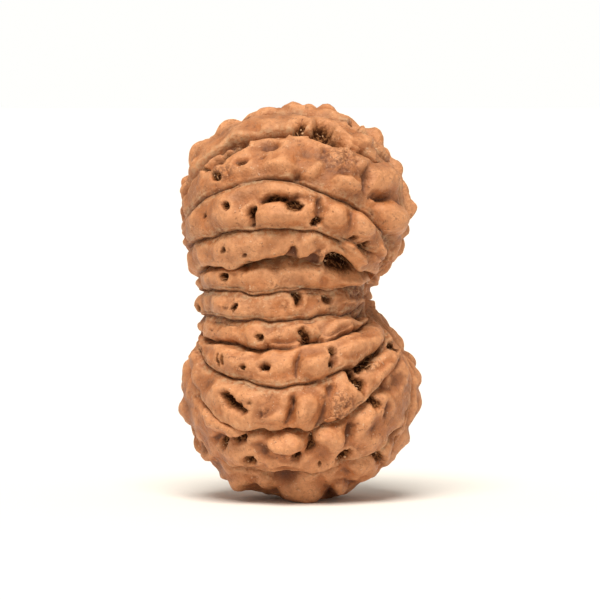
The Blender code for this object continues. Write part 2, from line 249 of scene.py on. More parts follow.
# %% [markdown]
# Every point now knows which rib it is on and how far across it. From that come its place on
# the plain skin, the way out of the body there, the way up across the rib, and how wide the
# rib is at that spot.

# %% Lay the points on the plain skin
lower_turn = cleft_angle(rib, along)
upper_turn = cleft_angle(rib + 1, along)
lower_edge = skin(along, lower_turn)
upper_edge = skin(along, upper_turn)
base = skin(along, lower_turn + (upper_turn - lower_turn) * share)
outward = body_value(base)[1]
rib_width = np.linalg.norm(upper_edge - lower_edge, axis=-1)
up_rib = (upper_edge - lower_edge) / (rib_width[:, None] + 1e-6)
across, upward, near = picture(base)
facing = outward @ eye_back
RIB_RUN = 37.0
run = along / math.pi * RIB_RUN
print("widest rib, mm:", rib_width.max().round(2))

# %% [markdown]
# Nothing on a dried stone is straight or even. A noise that is smooth from point to point
# bends outlines, widens and narrows clefts and wrinkles the skin. It is read from a block of
# seeded random numbers, so every run gives the same bead.

# %% Noise and soft steps


def soft_step(value, low, high):
    """Return 0 below low and 1 above high, with a smooth rise between."""
    ratio = np.clip((value - low) / (high - low), 0, 1)
    return ratio * ratio * (3 - 2 * ratio)


def smooth_noise(points, size, seed, detail=2):
    """Return noise from about -1 to 1 at each point, with lumps of the given size in mm."""
    lattice = np.random.default_rng(seed).uniform(-1, 1, (32, 32, 32))
    total = np.zeros(len(points))
    for octave in range(detail):
        places = points / size * 2 ** octave + 3.7 * octave
        cell = np.floor(places).astype(int)
        part = places - cell
        part = part * part * (3 - 2 * part)
        for corner in np.ndindex(2, 2, 2):
            weight = np.prod(np.where(corner, part, 1 - part), axis=1)
            total += weight * lattice[tuple(((cell + corner) % 32).T)] * 0.55 ** octave
    return total


BEND_OUTLINES = 0.34
bend_across = BEND_OUTLINES * smooth_noise(base, 1.7, 11, 3)
bend_up = BEND_OUTLINES * smooth_noise(base, 1.7, 12, 3)
print("outlines bend by up to, mm:", np.abs(bend_across).max().round(2))

# %% [markdown]
# ## The profile of ribs and clefts
#
# Across a rib the surface is a cushion: it rises slowly from the cleft above it and drops
# steeply into the one below. The drop is a quarter circle where the cleft is a tight seam,
# and a wider valley where it is open. A small push across the rib folds its lower edge over
# the cleft below, like a shingle, which is what throws the dark line on the real bead.

# %% Ribs and clefts


def wall_drop(place, opened):
    """Return the drop beside a cleft: 1 at the cleft, 0 from one wall width away."""
    place = np.clip(place, 0, 1.2)
    tight = 1 - np.sqrt(1 - (1 - np.clip(place, 0, 1)) ** 2)
    valley = 1 - soft_step(place, 0.15, 1.15)
    return tight + (valley - tight) * opened


FOLD_WIDTH = 0.5
SEAM_GAP = 0.42
SEAM_WIDTH = 0.09
SEAM_DEPTH = 0.14
cleft_rows = np.array([cleft[3:] for cleft in CLEFTS])
below = cleft_rows[rib]
above = cleft_rows[(rib + 1) % NUMBER_OF_CLEFTS]
room = 0.46 * rib_width + 1e-6
fade = np.clip(rib_width / 1.6, 0, 1)
uneven = 1 + 0.55 * smooth_noise(base, 2.2, 1)
depth_here = 1 + 0.35 * smooth_noise(base, 4.5, 6)
low_gap = share * rib_width
high_gap = (1 - share) * rib_width
low_drop = below[:, 0] * wall_drop(low_gap / np.minimum(below[:, 1] * uneven, room), below[:, 4])
high_drop = above[:, 0] * wall_drop(high_gap / np.minimum(above[:, 2] * uneven, room), above[:, 4])
cleft_drop = fade * depth_here * (low_drop + high_drop)
crown = below[:, 5] * np.sin(math.pi * share ** 0.85) ** 0.9 * np.clip(rib_width / 3, 0, 1)
second_seam = SEAM_DEPTH * np.clip(uneven, 0, 1.4) * fade * (
    below[:, 6] * np.exp(-((low_gap - SEAM_GAP) / SEAM_WIDTH) ** 2)
    + above[:, 6] * np.exp(-((high_gap - SEAM_GAP) / SEAM_WIDTH) ** 2))
rise = crown - cleft_drop - second_seam
scallop = np.clip(1 + 0.9 * smooth_noise(base, 1.9, 7), 0, 2.2)
fold = below[:, 3] * fade * scallop * (low_gap / FOLD_WIDTH) * np.exp(1 - low_gap / FOLD_WIDTH)
cleft_gap = np.minimum(low_gap, high_gap)
print("relief so far, mm:", rise.min().round(2), rise.max().round(2))

# %% [markdown]
# Along each rib the cushion swells and narrows. The noise for that is read at the place along
# the rib and the number of the rib, so neighbours swell at different spots.

# %% Swellings along each rib
SWELL_RISE = 0.34
SWELL_SIZE = 2.4
rib_grid = np.stack([run, 7.7 * rib + 1.2 * share, 0 * run], -1)
swell = smooth_noise(rib_grid, SWELL_SIZE, 21, 2) * np.sin(math.pi * share) ** 0.7
rise += SWELL_RISE * swell * np.clip(rib_width / 2.2, 0, 1)
print("swellings, mm:", (SWELL_RISE * swell.max()).round(2))

# %% [markdown]
# ## Rows of lumps on the sides and back
#
# Away from the smooth front bands the ribs break up into knuckles. Each rib gets one row of
# them, or two where it is wide, with uneven lengths from a seeded draw, and a soft dip where
# two knuckles meet. On the front they are kept faint, because the lumps there are placed
# one by one in the next cell.

# %% Knuckles
LUMP_RISE = 0.85
LUMP_SPACING = (2.3, 3.9)
WIDE_RIB = 3.8
FACE_LUMPS = 0.08
SEED = 19
open_side = soft_step(facing, 0.0, 0.35)

knuckles = np.zeros(len(base))
for number in range(NUMBER_OF_CLEFTS):
    draw = np.random.default_rng(SEED + number)
    here = rib == number
    rows = 2 if rib_width[here].max() > WIDE_RIB else 1
    for row in range(rows):
        ends = np.cumsum(draw.uniform(*LUMP_SPACING, 20)) - draw.uniform(0, 3)
        sizes = draw.uniform(0.55, 1.1, 22)
        place = share * rows - row + 0.3 * bend_up
        inside = here & (share * rows >= row) & (share * rows <= row + 1)
        slanted = run[inside] + draw.uniform(-0.5, 0.5) * (place[inside] - 0.5) + bend_across[inside]
        cell = np.clip(np.searchsorted(ends, slanted), 1, 19)
        middle = (ends[cell] + ends[cell - 1]) / 2
        half = (ends[cell] - ends[cell - 1]) / 2
        lengthways = np.abs(slanted - middle) / half
        crossways = np.abs(2 * place[inside] - 1)
        knuckles[inside] = sizes[cell] * (1 - soft_step((lengthways ** 2.5 + crossways ** 2.5) ** 0.4, 0.1, 1.1))
MEAN_KNUCKLE = 0.35
knuckles = (knuckles - MEAN_KNUCKLE) * np.clip(rib_width / 2.2, 0, 1)
knuckles *= 0.45 + 0.55 * soft_step(base[:, 2], 0.5, 6.0)
rise += LUMP_RISE * knuckles * (1 - (1 - FACE_LUMPS) * open_side)

# %% [markdown]
# ## The lumps, hollows and pits of the front
#
# These are listed one by one, as they look from the front eye: across and up in millimetres,
# half width, half height, turn in degrees, and size. A lump is a soft dome, a hollow is a
# shallow dish, and a pit has steep torn walls.

# %% Lists of single forms
LUMPS = [
    (-9.6, 34.8, 2.6, 1.6, 55, 1.2),
    (-7.4, 37.0, 2.2, 1.2, 35, 1.0),
    (4.8, 36.9, 3.0, 1.2, -18, 0.9),
    (7.8, 35.9, 2.6, 0.9, -45, 0.7),
    (-3.2, 37.3, 3.0, 1.2, 6, 0.5),
    (-8.6, 35.2, 2.0, 1.1, 48, 0.5),
    (-10.6, 33.8, 1.2, 1.6, 60, 0.8),
    (-8.9, 36.6, 1.4, 1.3, 45, 0.8),
    (-6.6, 38.2, 1.4, 0.9, 30, 0.7),
    (-1.7, 33.1, 1.9, 1.3, -12, 0.9),
    (1.3, 33.0, 1.5, 1.3, 0, 0.7),
    (1.2, 35.6, 2.4, 1.2, 0, 0.5),
    (-6.2, 33.4, 2.8, 1.8, 20, 0.6),
    (3.8, 33.8, 2.0, 1.9, -20, 0.7),
    (5.9, 33.2, 1.3, 1.1, -30, 0.6),
    (4.3, 31.3, 2.2, 1.5, -15, 1.0),
    (8.6, 32.1, 1.9, 2.3, 0, 1.1),
    (8.7, 27.8, 1.9, 2.2, 0, 1.2),
    (7.7, 35.0, 1.2, 0.9, -30, 0.6),
    (9.6, 25.0, 1.5, 1.3, 40, 0.7),
    (-2.2, 28.4, 2.7, 1.4, 2, 1.0),
    (-7.2, 28.3, 2.8, 1.7, 8, 0.6),
    (-1.8, 30.9, 4.2, 0.9, 0, 0.45),
    (2.6, 29.6, 1.0, 1.5, 10, 0.4),
    (3.6, 28.5, 1.7, 1.9, 0, 1.2),
    (5.9, 27.3, 1.6, 2.0, -20, 1.1),
    (7.6, 25.4, 1.0, 1.3, -30, 0.8),
    (-4.5, 25.6, 3.0, 1.2, 3, 0.35),
    (0.6, 25.6, 1.6, 0.9, 0, 0.4),
    (4.6, 25.1, 2.2, 1.1, -38, 0.9),
    (-7.6, 25.3, 1.6, 1.1, 0, 0.3),
    (1.1, 22.2, 1.8, 1.3, 0, 0.5),
    (5.6, 22.1, 1.8, 1.0, 0, 0.5),
    (-5.5, 22.3, 2.2, 1.1, 0, 0.25),
    (6.8, 19.9, 2.6, 0.6, 12, 0.4),
    (-6.0, 19.2, 2.2, 1.1, 0, 0.2),
    (4.6, 17.5, 1.7, 1.0, 12, 0.7),
    (-0.6, 17.0, 2.0, 1.0, 0, 0.25),
    (-6.0, 16.8, 2.0, 1.0, -6, 0.25),
    (1.4, 13.4, 1.8, 1.4, 0, 0.75),
    (-5.4, 13.6, 2.2, 1.3, 0, 0.35),
    (-2.0, 13.4, 1.6, 1.3, 0, 0.35),
    (4.2, 13.4, 1.0, 0.9, 0, 0.5),
    (6.6, 15.6, 3.4, 1.3, 28, 0.8),
    (8.6, 14.0, 1.3, 1.9, 0, 0.6),
    (0.5, 9.1, 1.3, 2.0, -4, 1.1),
    (-4.8, 9.9, 1.7, 1.1, 0, 0.6),
    (-2.2, 8.3, 1.6, 0.9, 12, 0.45),
    (-8.6, 10.6, 1.3, 1.5, -40, 0.5),
    (6.4, 8.2, 2.0, 1.1, 25, 0.6),
    (4.6, 10.6, 1.7, 1.1, 20, 0.4),
    (-7.2, 7.6, 2.6, 1.3, -24, 0.9),
    (-4.4, 6.6, 1.1, 0.8, -10, 0.5),
    (-1.5, 5.7, 2.2, 1.3, 0, 1.1),
    (3.0, 6.2, 2.1, 1.6, 0, 0.95),
    (6.8, 6.0, 1.6, 1.3, 30, 0.9),
    (-6.4, 4.4, 1.5, 1.0, -35, 0.8),
    (-2.8, 4.2, 1.3, 0.8, -5, 0.7),
    (1.6, 3.6, 1.7, 1.0, 0, 0.7),
    (5.9, 3.5, 1.6, 1.2, 25, 0.9),
    (-8.8, 4.9, 1.2, 1.2, -40, 0.7),
    (-5.8, 2.1, 1.6, 0.8, -22, 0.9),
    (-3.4, 1.7, 1.4, 0.8, -12, 0.8),
    (-0.9, 1.9, 1.3, 0.6, 0, 0.5),
    (0.5, 1.1, 2.0, 1.0, 0, 0.8),
    (3.6, 1.5, 1.4, 1.0, 10, 0.9),
    (6.0, 2.3, 1.3, 1.2, 30, 0.9),
    (11.0, 11.6, 1.2, 3.2, 5, 0.8),
    (9.6, 12.4, 1.3, 2.2, 10, 0.7),
    (9.8, 7.6, 1.2, 1.5, -10, 0.9),
    (10.5, 6.3, 0.9, 0.9, 0, 0.7),
    (9.2, 4.1, 1.4, 1.1, 20, 0.8),
    (8.1, 5.6, 1.2, 1.5, 0, 0.8),
    (8.3, 9.6, 1.3, 1.7, 0, 0.8),
    (10.9, 31.7, 0.9, 1.1, 0, 0.8),
    (11.1, 28.4, 0.9, 1.7, 0, 0.8),
    (9.0, 19.1, 0.6, 0.5, 0, 0.9),
    (-11.0, 5.9, 0.9, 0.9, 0, 0.5),
    (-10.0, 4.4, 1.0, 0.8, -30, 0.4),
    (-7.9, 37.6, 1.2, 0.9, 35, 0.7),
    (-9.8, 36.1, 1.1, 0.9, 45, 0.6),
    (-5.2, 38.9, 0.8, 0.7, 0, 0.9),
    (-3.0, 39.1, 1.1, 0.6, 0, 0.5),
    (-0.9, 39.2, 0.9, 0.8, 0, 0.8),
    (2.4, 39.1, 0.8, 0.7, 0, 0.7),
    (4.2, 38.8, 1.0, 0.7, -10, 0.6),
]
HOLLOWS = [
    (9.2, 35.0, 2.6, 1.3, -52, 1.0),
    (-2.4, 36.5, 2.2, 0.7, 0, 0.6),
    (-3.2, 35.2, 0.9, 0.5, 0, 0.4),
    (0.2, 34.5, 1.2, 0.8, 0, 0.4),
    (-0.1, 32.2, 0.7, 0.8, 0, 0.6),
    (2.5, 34.6, 0.5, 1.0, 20, 0.4),
    (6.2, 31.6, 0.7, 1.9, -5, 0.9),
    (7.8, 30.1, 1.3, 0.5, 0, 1.0),
    (8.9, 25.9, 1.2, 0.7, -40, 1.0),
    (-11.6, 28.2, 0.6, 1.2, 0, 0.5),
    (-0.8, 29.9, 2.8, 0.6, -2, 0.8),
    (-4.8, 28.1, 0.5, 0.9, 0, 0.9),
    (1.9, 28.4, 0.5, 1.4, 10, 0.7),
    (3.7, 23.6, 2.0, 1.2, -35, 1.0),
    (1.5, 24.6, 1.0, 0.6, 0, 0.6),
    (-0.5, 25.1, 0.5, 0.5, 0, 0.5),
    (-3.0, 25.4, 0.8, 0.5, 20, 0.3),
    (2.6, 22.2, 0.6, 0.9, 0, 0.5),
    (-2.2, 22.6, 1.0, 0.6, 0, 0.25),
    (5.0, 20.9, 2.0, 0.6, 0, 0.5),
    (-2.2, 19.0, 0.8, 0.6, 0, 0.25),
    (1.2, 19.2, 0.9, 0.6, 0, 0.3),
    (5.9, 18.4, 1.4, 0.8, 15, 0.7),
    (2.2, 17.0, 0.6, 0.8, -20, 0.3),
    (-3.2, 17.2, 0.9, 0.6, 0, 0.25),
    (-0.4, 13.5, 0.4, 1.2, 0, 0.5),
    (3.2, 11.2, 1.3, 1.0, 0, 0.7),
    (5.2, 12.4, 1.6, 1.0, 35, 0.7),
    (-2.6, 10.2, 0.8, 1.3, 20, 0.4),
    (-0.7, 9.2, 0.5, 1.5, 0, 0.8),
    (2.3, 8.6, 0.7, 1.4, -10, 0.6),
    (-0.8, 7.0, 1.2, 0.5, 0, 0.8),
    (1.1, 5.7, 0.7, 1.1, 20, 0.9),
    (-3.8, 5.4, 0.7, 0.9, 20, 0.7),
    (5.0, 7.4, 0.8, 0.9, 30, 0.6),
    (-1.4, 2.9, 2.2, 0.7, 0, 0.9),
    (-4.6, 3.2, 1.2, 0.5, -15, 0.7),
    (2.0, 2.4, 0.7, 0.7, 0, 0.6),
    (4.6, 2.8, 0.8, 0.6, 25, 0.7),
    (-7.6, 6.2, 0.9, 0.5, -35, 0.6),
    (9.4, 11.9, 0.6, 1.6, 0, 0.7),
    (8.4, 11.8, 0.8, 0.8, 0, 0.6),
    (7.4, 10.9, 0.9, 0.9, 0, 0.5),
    (-9.3, 11.6, 0.8, 1.2, 0, 0.4),
]
PITS = [
    (-9.5, 32.9, 0.55, 0.22, -10, 0.7),
    (-8.1, 32.1, 0.6, 0.4, 35, 0.8),
    (-5.7, 33.4, 0.6, 0.35, 10, 0.35),
    (-3.8, 34.1, 0.35, 0.12, 0, 0.3),
    (-7.0, 29.3, 0.38, 0.38, 0, 0.9),
    (-9.5, 28.3, 0.26, 0.26, 0, 0.6),
    (-0.6, 29.4, 0.95, 0.55, -28, 1.2),
    (1.4, 27.6, 0.4, 0.35, 0, 0.8),
    (5.0, 26.3, 0.3, 0.3, 0, 0.4),
    (6.2, 25.6, 0.5, 0.5, 0, 0.6),
    (-7.3, 25.1, 0.32, 0.25, 0, 0.5),
    (-5.4, 24.7, 0.2, 0.15, 0, 0.4),
    (-7.5, 22.2, 0.5, 0.38, 0, 0.9),
    (-9.8, 19.2, 0.25, 0.28, 0, 0.5),
    (-6.4, 19.2, 0.33, 0.35, 0, 0.8),
    (2.7, 19.9, 0.7, 0.4, -10, 0.35),
    (-3.8, 16.3, 0.45, 0.28, -5, 0.6),
    (5.9, 18.4, 0.6, 0.4, 15, 0.5),
    (-7.8, 13.8, 0.2, 0.6, -5, 0.6),
    (-7.3, 13.8, 0.17, 0.5, -5, 0.5),
    (-5.5, 13.1, 0.25, 0.25, 0, 0.7),
    (3.1, 14.6, 0.4, 0.4, 0, 0.6),
    (2.9, 13.3, 0.4, 0.3, 0, 0.6),
    (5.2, 12.4, 0.6, 0.5, 35, 1.1),
    (6.0, 11.4, 0.6, 0.9, 30, 1.1),
    (6.6, 13.6, 1.1, 0.6, 42, 0.6),
    (8.9, 15.1, 0.4, 0.6, 0, 0.8),
    (-6.7, 9.9, 1.2, 0.55, -38, 1.2),
    (-4.8, 9.8, 0.4, 0.2, 0, 0.3),
    (7.3, 9.9, 0.5, 0.5, 0, 0.6),
    (-7.5, 5.8, 0.38, 0.55, 20, 1.0),
    (-6.0, 6.2, 1.0, 0.22, 10, 0.9),
    (-4.8, 4.3, 0.7, 0.5, 0, 1.0),
    (-0.3, 4.6, 0.5, 0.42, 0, 0.9),
    (1.8, 4.0, 0.25, 0.2, 0, 0.4),
    (4.2, 4.4, 0.85, 0.55, 0, 1.0),
    (7.5, 4.4, 0.7, 0.45, -45, 0.9),
    (9.3, 6.2, 0.33, 0.28, 0, 0.5),
]
FURROWS = [
    (-9.2, 32.9, -6.3, 34.8, 0.5, 0.9),
    (2.4, 36.6, 4.0, 35.2, 0.45, 0.8),
    (-4.8, 29.3, -4.9, 27.3, 0.3, 0.8),
    (-4.6, 29.6, -2.6, 30.3, 0.3, 0.6),
    (-0.3, 14.7, -0.3, 12.2, 0.3, 0.5),
    (-0.7, 10.2, -0.6, 9.2, 0.35, 0.8),
    (-0.6, 9.2, -1.3, 7.6, 0.35, 0.8),
    (6.7, 30.0, 8.6, 30.1, 0.3, 0.6),
    (2.1, 29.9, 1.6, 28.0, 0.3, 0.5),
    (5.0, 8.7, 7.2, 10.3, 0.15, 0.25),
    (4.8, 9.0, 6.8, 10.7, 0.15, 0.2),
]
PLATES = [
    (0.75, 0.35, [(2.6, 36.9), (3.3, 37.1), (4.1, 36.8), (5.2, 36.3), (6.3, 36), (7.1, 35.6), (7.3, 35.2),
                  (6.9, 34.8), (6.2, 34.5), (5.3, 34.6), (4.5, 34.9), (3.8, 35.5), (3.1, 36.1)]),
    (0.65, 0.35, [(5.6, 37.1), (6.2, 37.6), (7, 37.5), (7.7, 36.8), (8.3, 35.6), (9.1, 34.3),
                  (9.3, 33.5), (8.6, 33.9), (8, 34.9), (7.5, 35.9), (6.7, 36.7)]),
    (0.55, 0.35, [(0, 38.5), (0.7, 39.2), (1.8, 39.3), (4.1, 39.3), (4.8, 38.8), (4.9, 38.3),
                  (4.4, 38.1), (3.1, 38), (1.8, 38), (0.8, 38.5)]),
    (0.45, 0.4, [(-9.5, 31.7), (-9, 32.3), (-8.2, 33.1), (-7, 33.8), (-5.6, 34.5), (-4.4, 34.8),
                 (-2.6, 34.2), (-0.7, 33.6), (-0.2, 32.9), (-0.8, 32.3), (-3.5, 31.9), (-6.2, 31.5),
                 (-7.2, 31.3), (-8.4, 30.7), (-9.5, 30.9)]),
    (0.45, 0.3, [(-2.1, 32.9), (-1.9, 33.6), (-1.2, 33.7), (-0.5, 33.3), (-0.2, 32.8), (-0.9, 32.5)]),
    (0.6, 0.35, [(0.4, 32.3), (0.6, 33.1), (1.3, 33.4), (2, 33), (2.1, 32.3), (1.5, 31.8), (0.7, 31.8)]),
    (0.6, 0.25, [(5, 33.1), (5.5, 33.6), (6.2, 33.4), (6.4, 32.9), (5.9, 32.5), (5.2, 32.6)]),
    (0.4, 0.4, [(2, 34.8), (3.5, 35), (4.8, 34.7), (6, 34.1), (6.5, 33.3), (6.2, 32.7), (5, 32.5),
                (3.8, 32.9), (2.5, 33.1), (1.8, 33.9)]),
    (0.85, 0.35, [(2.5, 31.7), (3.3, 32.2), (4.6, 32.1), (5.6, 31.6), (5.8, 30.8), (5.3, 30.3), (4.3, 30.5),
                  (3.3, 31)]),
    (0.8, 0.6, [(6.2, 31.2), (6.1, 32.5), (6.7, 33.4), (7.7, 33.7), (8.8, 33.5), (9.5, 32.7),
                (9.9, 31.6), (9.6, 30.8), (8.4, 30.4), (7, 30.5)]),
    (0.85, 0.6, [(6.9, 29.2), (7.7, 29.8), (9, 29.9), (9.9, 29.3), (10.3, 28.2), (10.1, 27), (9.4, 26.2),
                 (8.3, 26.3), (7.5, 27.3), (7.1, 28.4)]),
    (0.7, 0.4, [(9.9, 32.7), (10.6, 32.5), (11.2, 31.7), (11.1, 31), (10.4, 30.5), (10, 31.1)]),
    (0.7, 0.4, [(10.5, 29.6), (11.1, 29.6), (11.7, 28.6), (11.6, 27.5), (10.9, 26.7), (10.6, 27.4)]),
    (0.45, 0.35, [(-4.4, 27.9), (-4.1, 28.6), (-3.6, 29.1), (-3, 29.4), (-2.3, 29.5), (-1.6, 29.3),
                  (-1, 28.9), (0, 28.7), (0.8, 28.9), (1.4, 28.4), (1.1, 27.5), (0.2, 27.1), (-3.9, 27.1)]),
    (0.25, 0.5, [(-9.9, 27.3), (-9.5, 28.7), (-8.4, 29.4), (-7, 28.9), (-5.7, 28.8), (-5.1, 28.1),
                 (-5.1, 27.3), (-6.5, 27), (-9.5, 26.8)]),
    (0.75, 0.5, [(2.2, 27.3), (2.1, 28.6), (2.5, 29.5), (3.3, 29.9), (4.1, 29.5), (4.5, 28.6),
                 (4.5, 27.7), (3.9, 27), (2.9, 26.9)]),
    (0.7, 0.5, [(4.6, 27), (4.6, 28.2), (5.1, 28.9), (5.9, 28.9), (6.6, 28.3), (7, 27.4), (6.7, 26.5),
                (5.8, 26.1), (5, 26.3)]),
    (0.5, 0.45, [(6.6, 23.7), (7, 24.7), (7.2, 25.7), (7.8, 26.1), (8.3, 25.5), (8.6, 24.6), (8.4, 23.7)]),
    (0.8, 0.35, [(3.6, 25.5), (4.1, 26.2), (5, 26), (5.8, 25.3), (6.4, 24.6), (6.6, 23.9), (6, 23.6),
                 (5.3, 24.1), (4.4, 24.8)]),
    (0.3, 0.5, [(-9.7, 21.1), (-9.9, 22), (-9.2, 22.8), (-7.8, 23.1), (-6.2, 23), (-5.2, 22.5),
                (-5.4, 21.6), (-6.5, 21.2)]),
    (0.3, 0.4, [(-0.8, 21.4), (-0.7, 22.6), (0.3, 23.1), (1.4, 23), (2.2, 22.3), (2.7, 21.5), (0.4, 21.1)]),
    (0.45, 0.35, [(3.3, 21.6), (4, 22.5), (5, 22.8), (6.1, 22.6), (6.8, 22), (7, 21.5), (4, 21.3)]),
    (0.3, 0.4, [(-3.8, 18.3), (-3.6, 19.4), (-2.8, 20.1), (-1.6, 20.2), (-0.9, 19.5), (-0.4, 18.6),
                (-1.2, 18.1), (-2.6, 18)]),
    (0.4, 0.4, [(0.3, 18.6), (0.6, 19.6), (1.4, 20.1), (2.2, 19.8), (3, 19.2), (3.2, 18.7), (0.9, 18.2)]),
    (0.45, 0.4, [(3.4, 19), (4.1, 20), (5, 20.4), (6.2, 20.3), (7.1, 19.7), (7.2, 19.2), (4.8, 19)]),
    (0.55, 0.35, [(1.8, 16.3), (2, 17.4), (2.8, 17.9), (4, 18.1), (5.1, 18), (5.6, 17.4), (5.5, 16.9),
                  (4.5, 16.6), (3.5, 16.1), (2.6, 15.8)]),
    (0.3, 0.5, [(-9.4, 16.5), (-9, 17.3), (-7.8, 17.6), (-6.2, 17.5), (-5.2, 17.1), (-4.8, 16.1),
                (-5.4, 15.5), (-8.2, 15.9)]),
    (0.3, 0.5, [(-3.8, 15.4), (-3.4, 16.5), (-2.4, 17.2), (-1.2, 17.4), (-0.5, 16.7), (0.4, 15.9),
                (-0.2, 15.3), (-2, 15.1)]),
    (0.65, 0.28, [(-0.2, 12.3), (-0.2, 13.8), (0.5, 14.5), (1.8, 14.6), (2.7, 14.4), (3.1, 13.8),
                  (2.6, 13.3), (3, 12.6), (2.4, 12), (1, 11.8)]),
    (0.4, 0.4, [(-9.2, 13.7), (-8.8, 14.7), (-7.4, 15.1), (-5.4, 14.9), (-3.2, 14.5), (-1.2, 14.4),
                (-0.7, 13.6), (-0.8, 12.3), (-2, 11.7), (-3.8, 11.7), (-5.6, 12.1), (-7.4, 12.8)]),
    (0.5, 0.4, [(3.2, 14.8), (4.1, 15.6), (5.5, 16), (7.1, 16.4), (8.3, 16.1), (8.4, 15.4), (7.2, 14.7),
                (5.8, 14.2), (4.7, 13.7), (3.9, 14.1)]),
    (0.55, 0.35, [(7.1, 11.5), (7.2, 12.8), (8, 13.6), (8.8, 13.9), (9.2, 13.3), (9, 12.3), (8.2, 11.3)]),
    (0.65, 0.5, [(8.4, 13.7), (8.6, 15.1), (9.2, 16.1), (10, 15.4), (10.8, 14.2), (11, 12.7),
                 (10.6, 11.3), (9.8, 10.6), (8.8, 11.1)]),
    (0.6, 0.4, [(10.7, 14.9), (11.3, 14.6), (11.9, 13.7), (12.3, 12.4), (12.3, 10.9), (11.9, 9.6),
                (11.3, 8.6), (10.6, 8.2), (10.9, 10.1), (11.1, 11.4), (11, 13.1)]),
    (0.6, 0.35, [(-9.6, 9.5), (-8.6, 8.8), (-7.5, 8.2), (-6.4, 7.6), (-5.3, 7.1), (-5.1, 6.7),
                 (-5.7, 6.2), (-6.7, 6), (-7.7, 6.3), (-8.7, 6.8), (-9.4, 7.5), (-9.8, 8.5)]),
    (0.35, 0.4, [(-5, 8.2), (-4.6, 8.8), (-3.6, 8.8), (-2.4, 9.4), (-1.4, 9.4), (-1.3, 8.1), (-2, 7.3),
                 (-3.4, 7.1), (-4.6, 7.4)]),
    (0.35, 0.28, [(-6, 9.9), (-5.5, 10.5), (-4.4, 10.6), (-3.6, 10.1), (-3.6, 9.4), (-4.5, 9)]),
    (0.75, 0.28, [(-0.7, 7.2), (-0.5, 8.7), (-0.3, 10), (0.4, 10.7), (1.2, 10.8), (1.8, 10.3), (2.1, 9.6),
                  (1.9, 8.9), (1.4, 8.3), (0.9, 7.5), (0.1, 7)]),
    (0.4, 0.25, [(1.7, 7.6), (2.4, 8.3), (3.5, 8.7), (4.1, 8.3), (3.7, 7.6), (2.6, 7.3)]),
    (0.6, 0.3, [(4.7, 5.9), (5, 7.7), (6.1, 8.6), (7, 9.2), (7.8, 8.9), (8, 8.4), (7.6, 7.6),
                (7.1, 6.7), (6.5, 5.6), (5.4, 5.1)]),
    (0.8, 0.28, [(-3.3, 6.1), (-2.5, 6.6), (-1.4, 6.8), (-0.2, 6.6), (0.5, 5.9), (0.3, 5.2), (-0.4, 4.8),
                 (-1.5, 4.6), (-2.5, 4.9), (-3.1, 5.5)]),
    (0.75, 0.35, [(1.4, 6.2), (2, 6.9), (3, 7.2), (4, 7.1), (4.6, 6.5), (4.5, 5.6), (3.8, 5), (2.8, 4.9)]),
    (0.55, 0.3, [(-7.1, 4.7), (-6.8, 5.5), (-5.7, 5.9), (-4.4, 5.8), (-3.6, 5.2), (-3.2, 4.3),
                 (-3.4, 3.5), (-4.4, 3.1), (-5.6, 3), (-6.5, 3.6)]),
    (0.5, 0.3, [(-3.4, 3.6), (-3.2, 4.4), (-2, 4.4), (-0.8, 4), (0.4, 3.9), (0.6, 3.3), (-2, 3.3)]),
    (0.55, 0.35, [(-9.7, 5.2), (-8.6, 5.1), (-7.8, 4.5), (-6.7, 3.6), (-6, 2.9), (-6.8, 2.5), (-9, 4.1)]),
    (0.45, 0.3, [(-7.5, 2.1), (-6.6, 2.8), (-5, 2.8), (-3.6, 2.4), (-2.8, 1.7), (-3.6, 1.2), (-6.4, 1.5)]),
    (0.75, 0.3, [(-2.3, 1.5), (-1.6, 1.9), (-0.4, 2.1), (0.9, 2.1), (2.1, 1.9), (2.4, 1.1), (2.1, 0.2),
                 (1, 0), (-1.4, 0), (-2.1, 0.4)]),
    (0.55, 0.35, [(2.4, 1.3), (2.9, 2), (3.8, 2.3), (4.7, 2.1), (5.1, 1.4), (4.6, 0.7), (3.3, 0.6)]),
    (0.7, 0.35, [(3, 2.2), (4.3, 3), (5.6, 3.8), (6.8, 4.2), (7.6, 3.7), (7.9, 3), (7.3, 2), (6.2, 2.1),
                 (5.2, 1.6), (4.1, 2.1)]),
    (0.55, 0.3, [(5.1, 1), (5.8, 1.7), (6.7, 1.9), (7.1, 1.5), (6.5, 0.7), (5.7, 0.4)]),
    (0.6, 0.35, [(7.9, 4.7), (8.6, 5.3), (9.3, 4.9), (9.3, 4.1), (8.7, 3.4), (8.1, 3.2), (7.8, 3.8)]),
    (0.6, 0.4, [(8.8, 6.6), (9.5, 7.5), (10.3, 8.1), (10.8, 7.5), (11.1, 6.3), (10.9, 5.3), (10.4, 4),
                (9.6, 3.1), (8.8, 2.9), (8.6, 3.3), (9.2, 4.1), (9.4, 5.1), (9, 5.9)]),
    (0.4, 0.4, [(-11.4, 12.7), (-11, 14.1), (-10.2, 14.9), (-9.7, 13.9), (-9.4, 12.3), (-9.8, 10.7),
                (-10.6, 9.9), (-11.4, 10.7)]),
    (0.4, 0.4, [(-11.4, 7.9), (-11.2, 9.3), (-10.4, 9.7), (-9.7, 8.7), (-9.6, 7.1), (-10.2, 6.1)]),
]
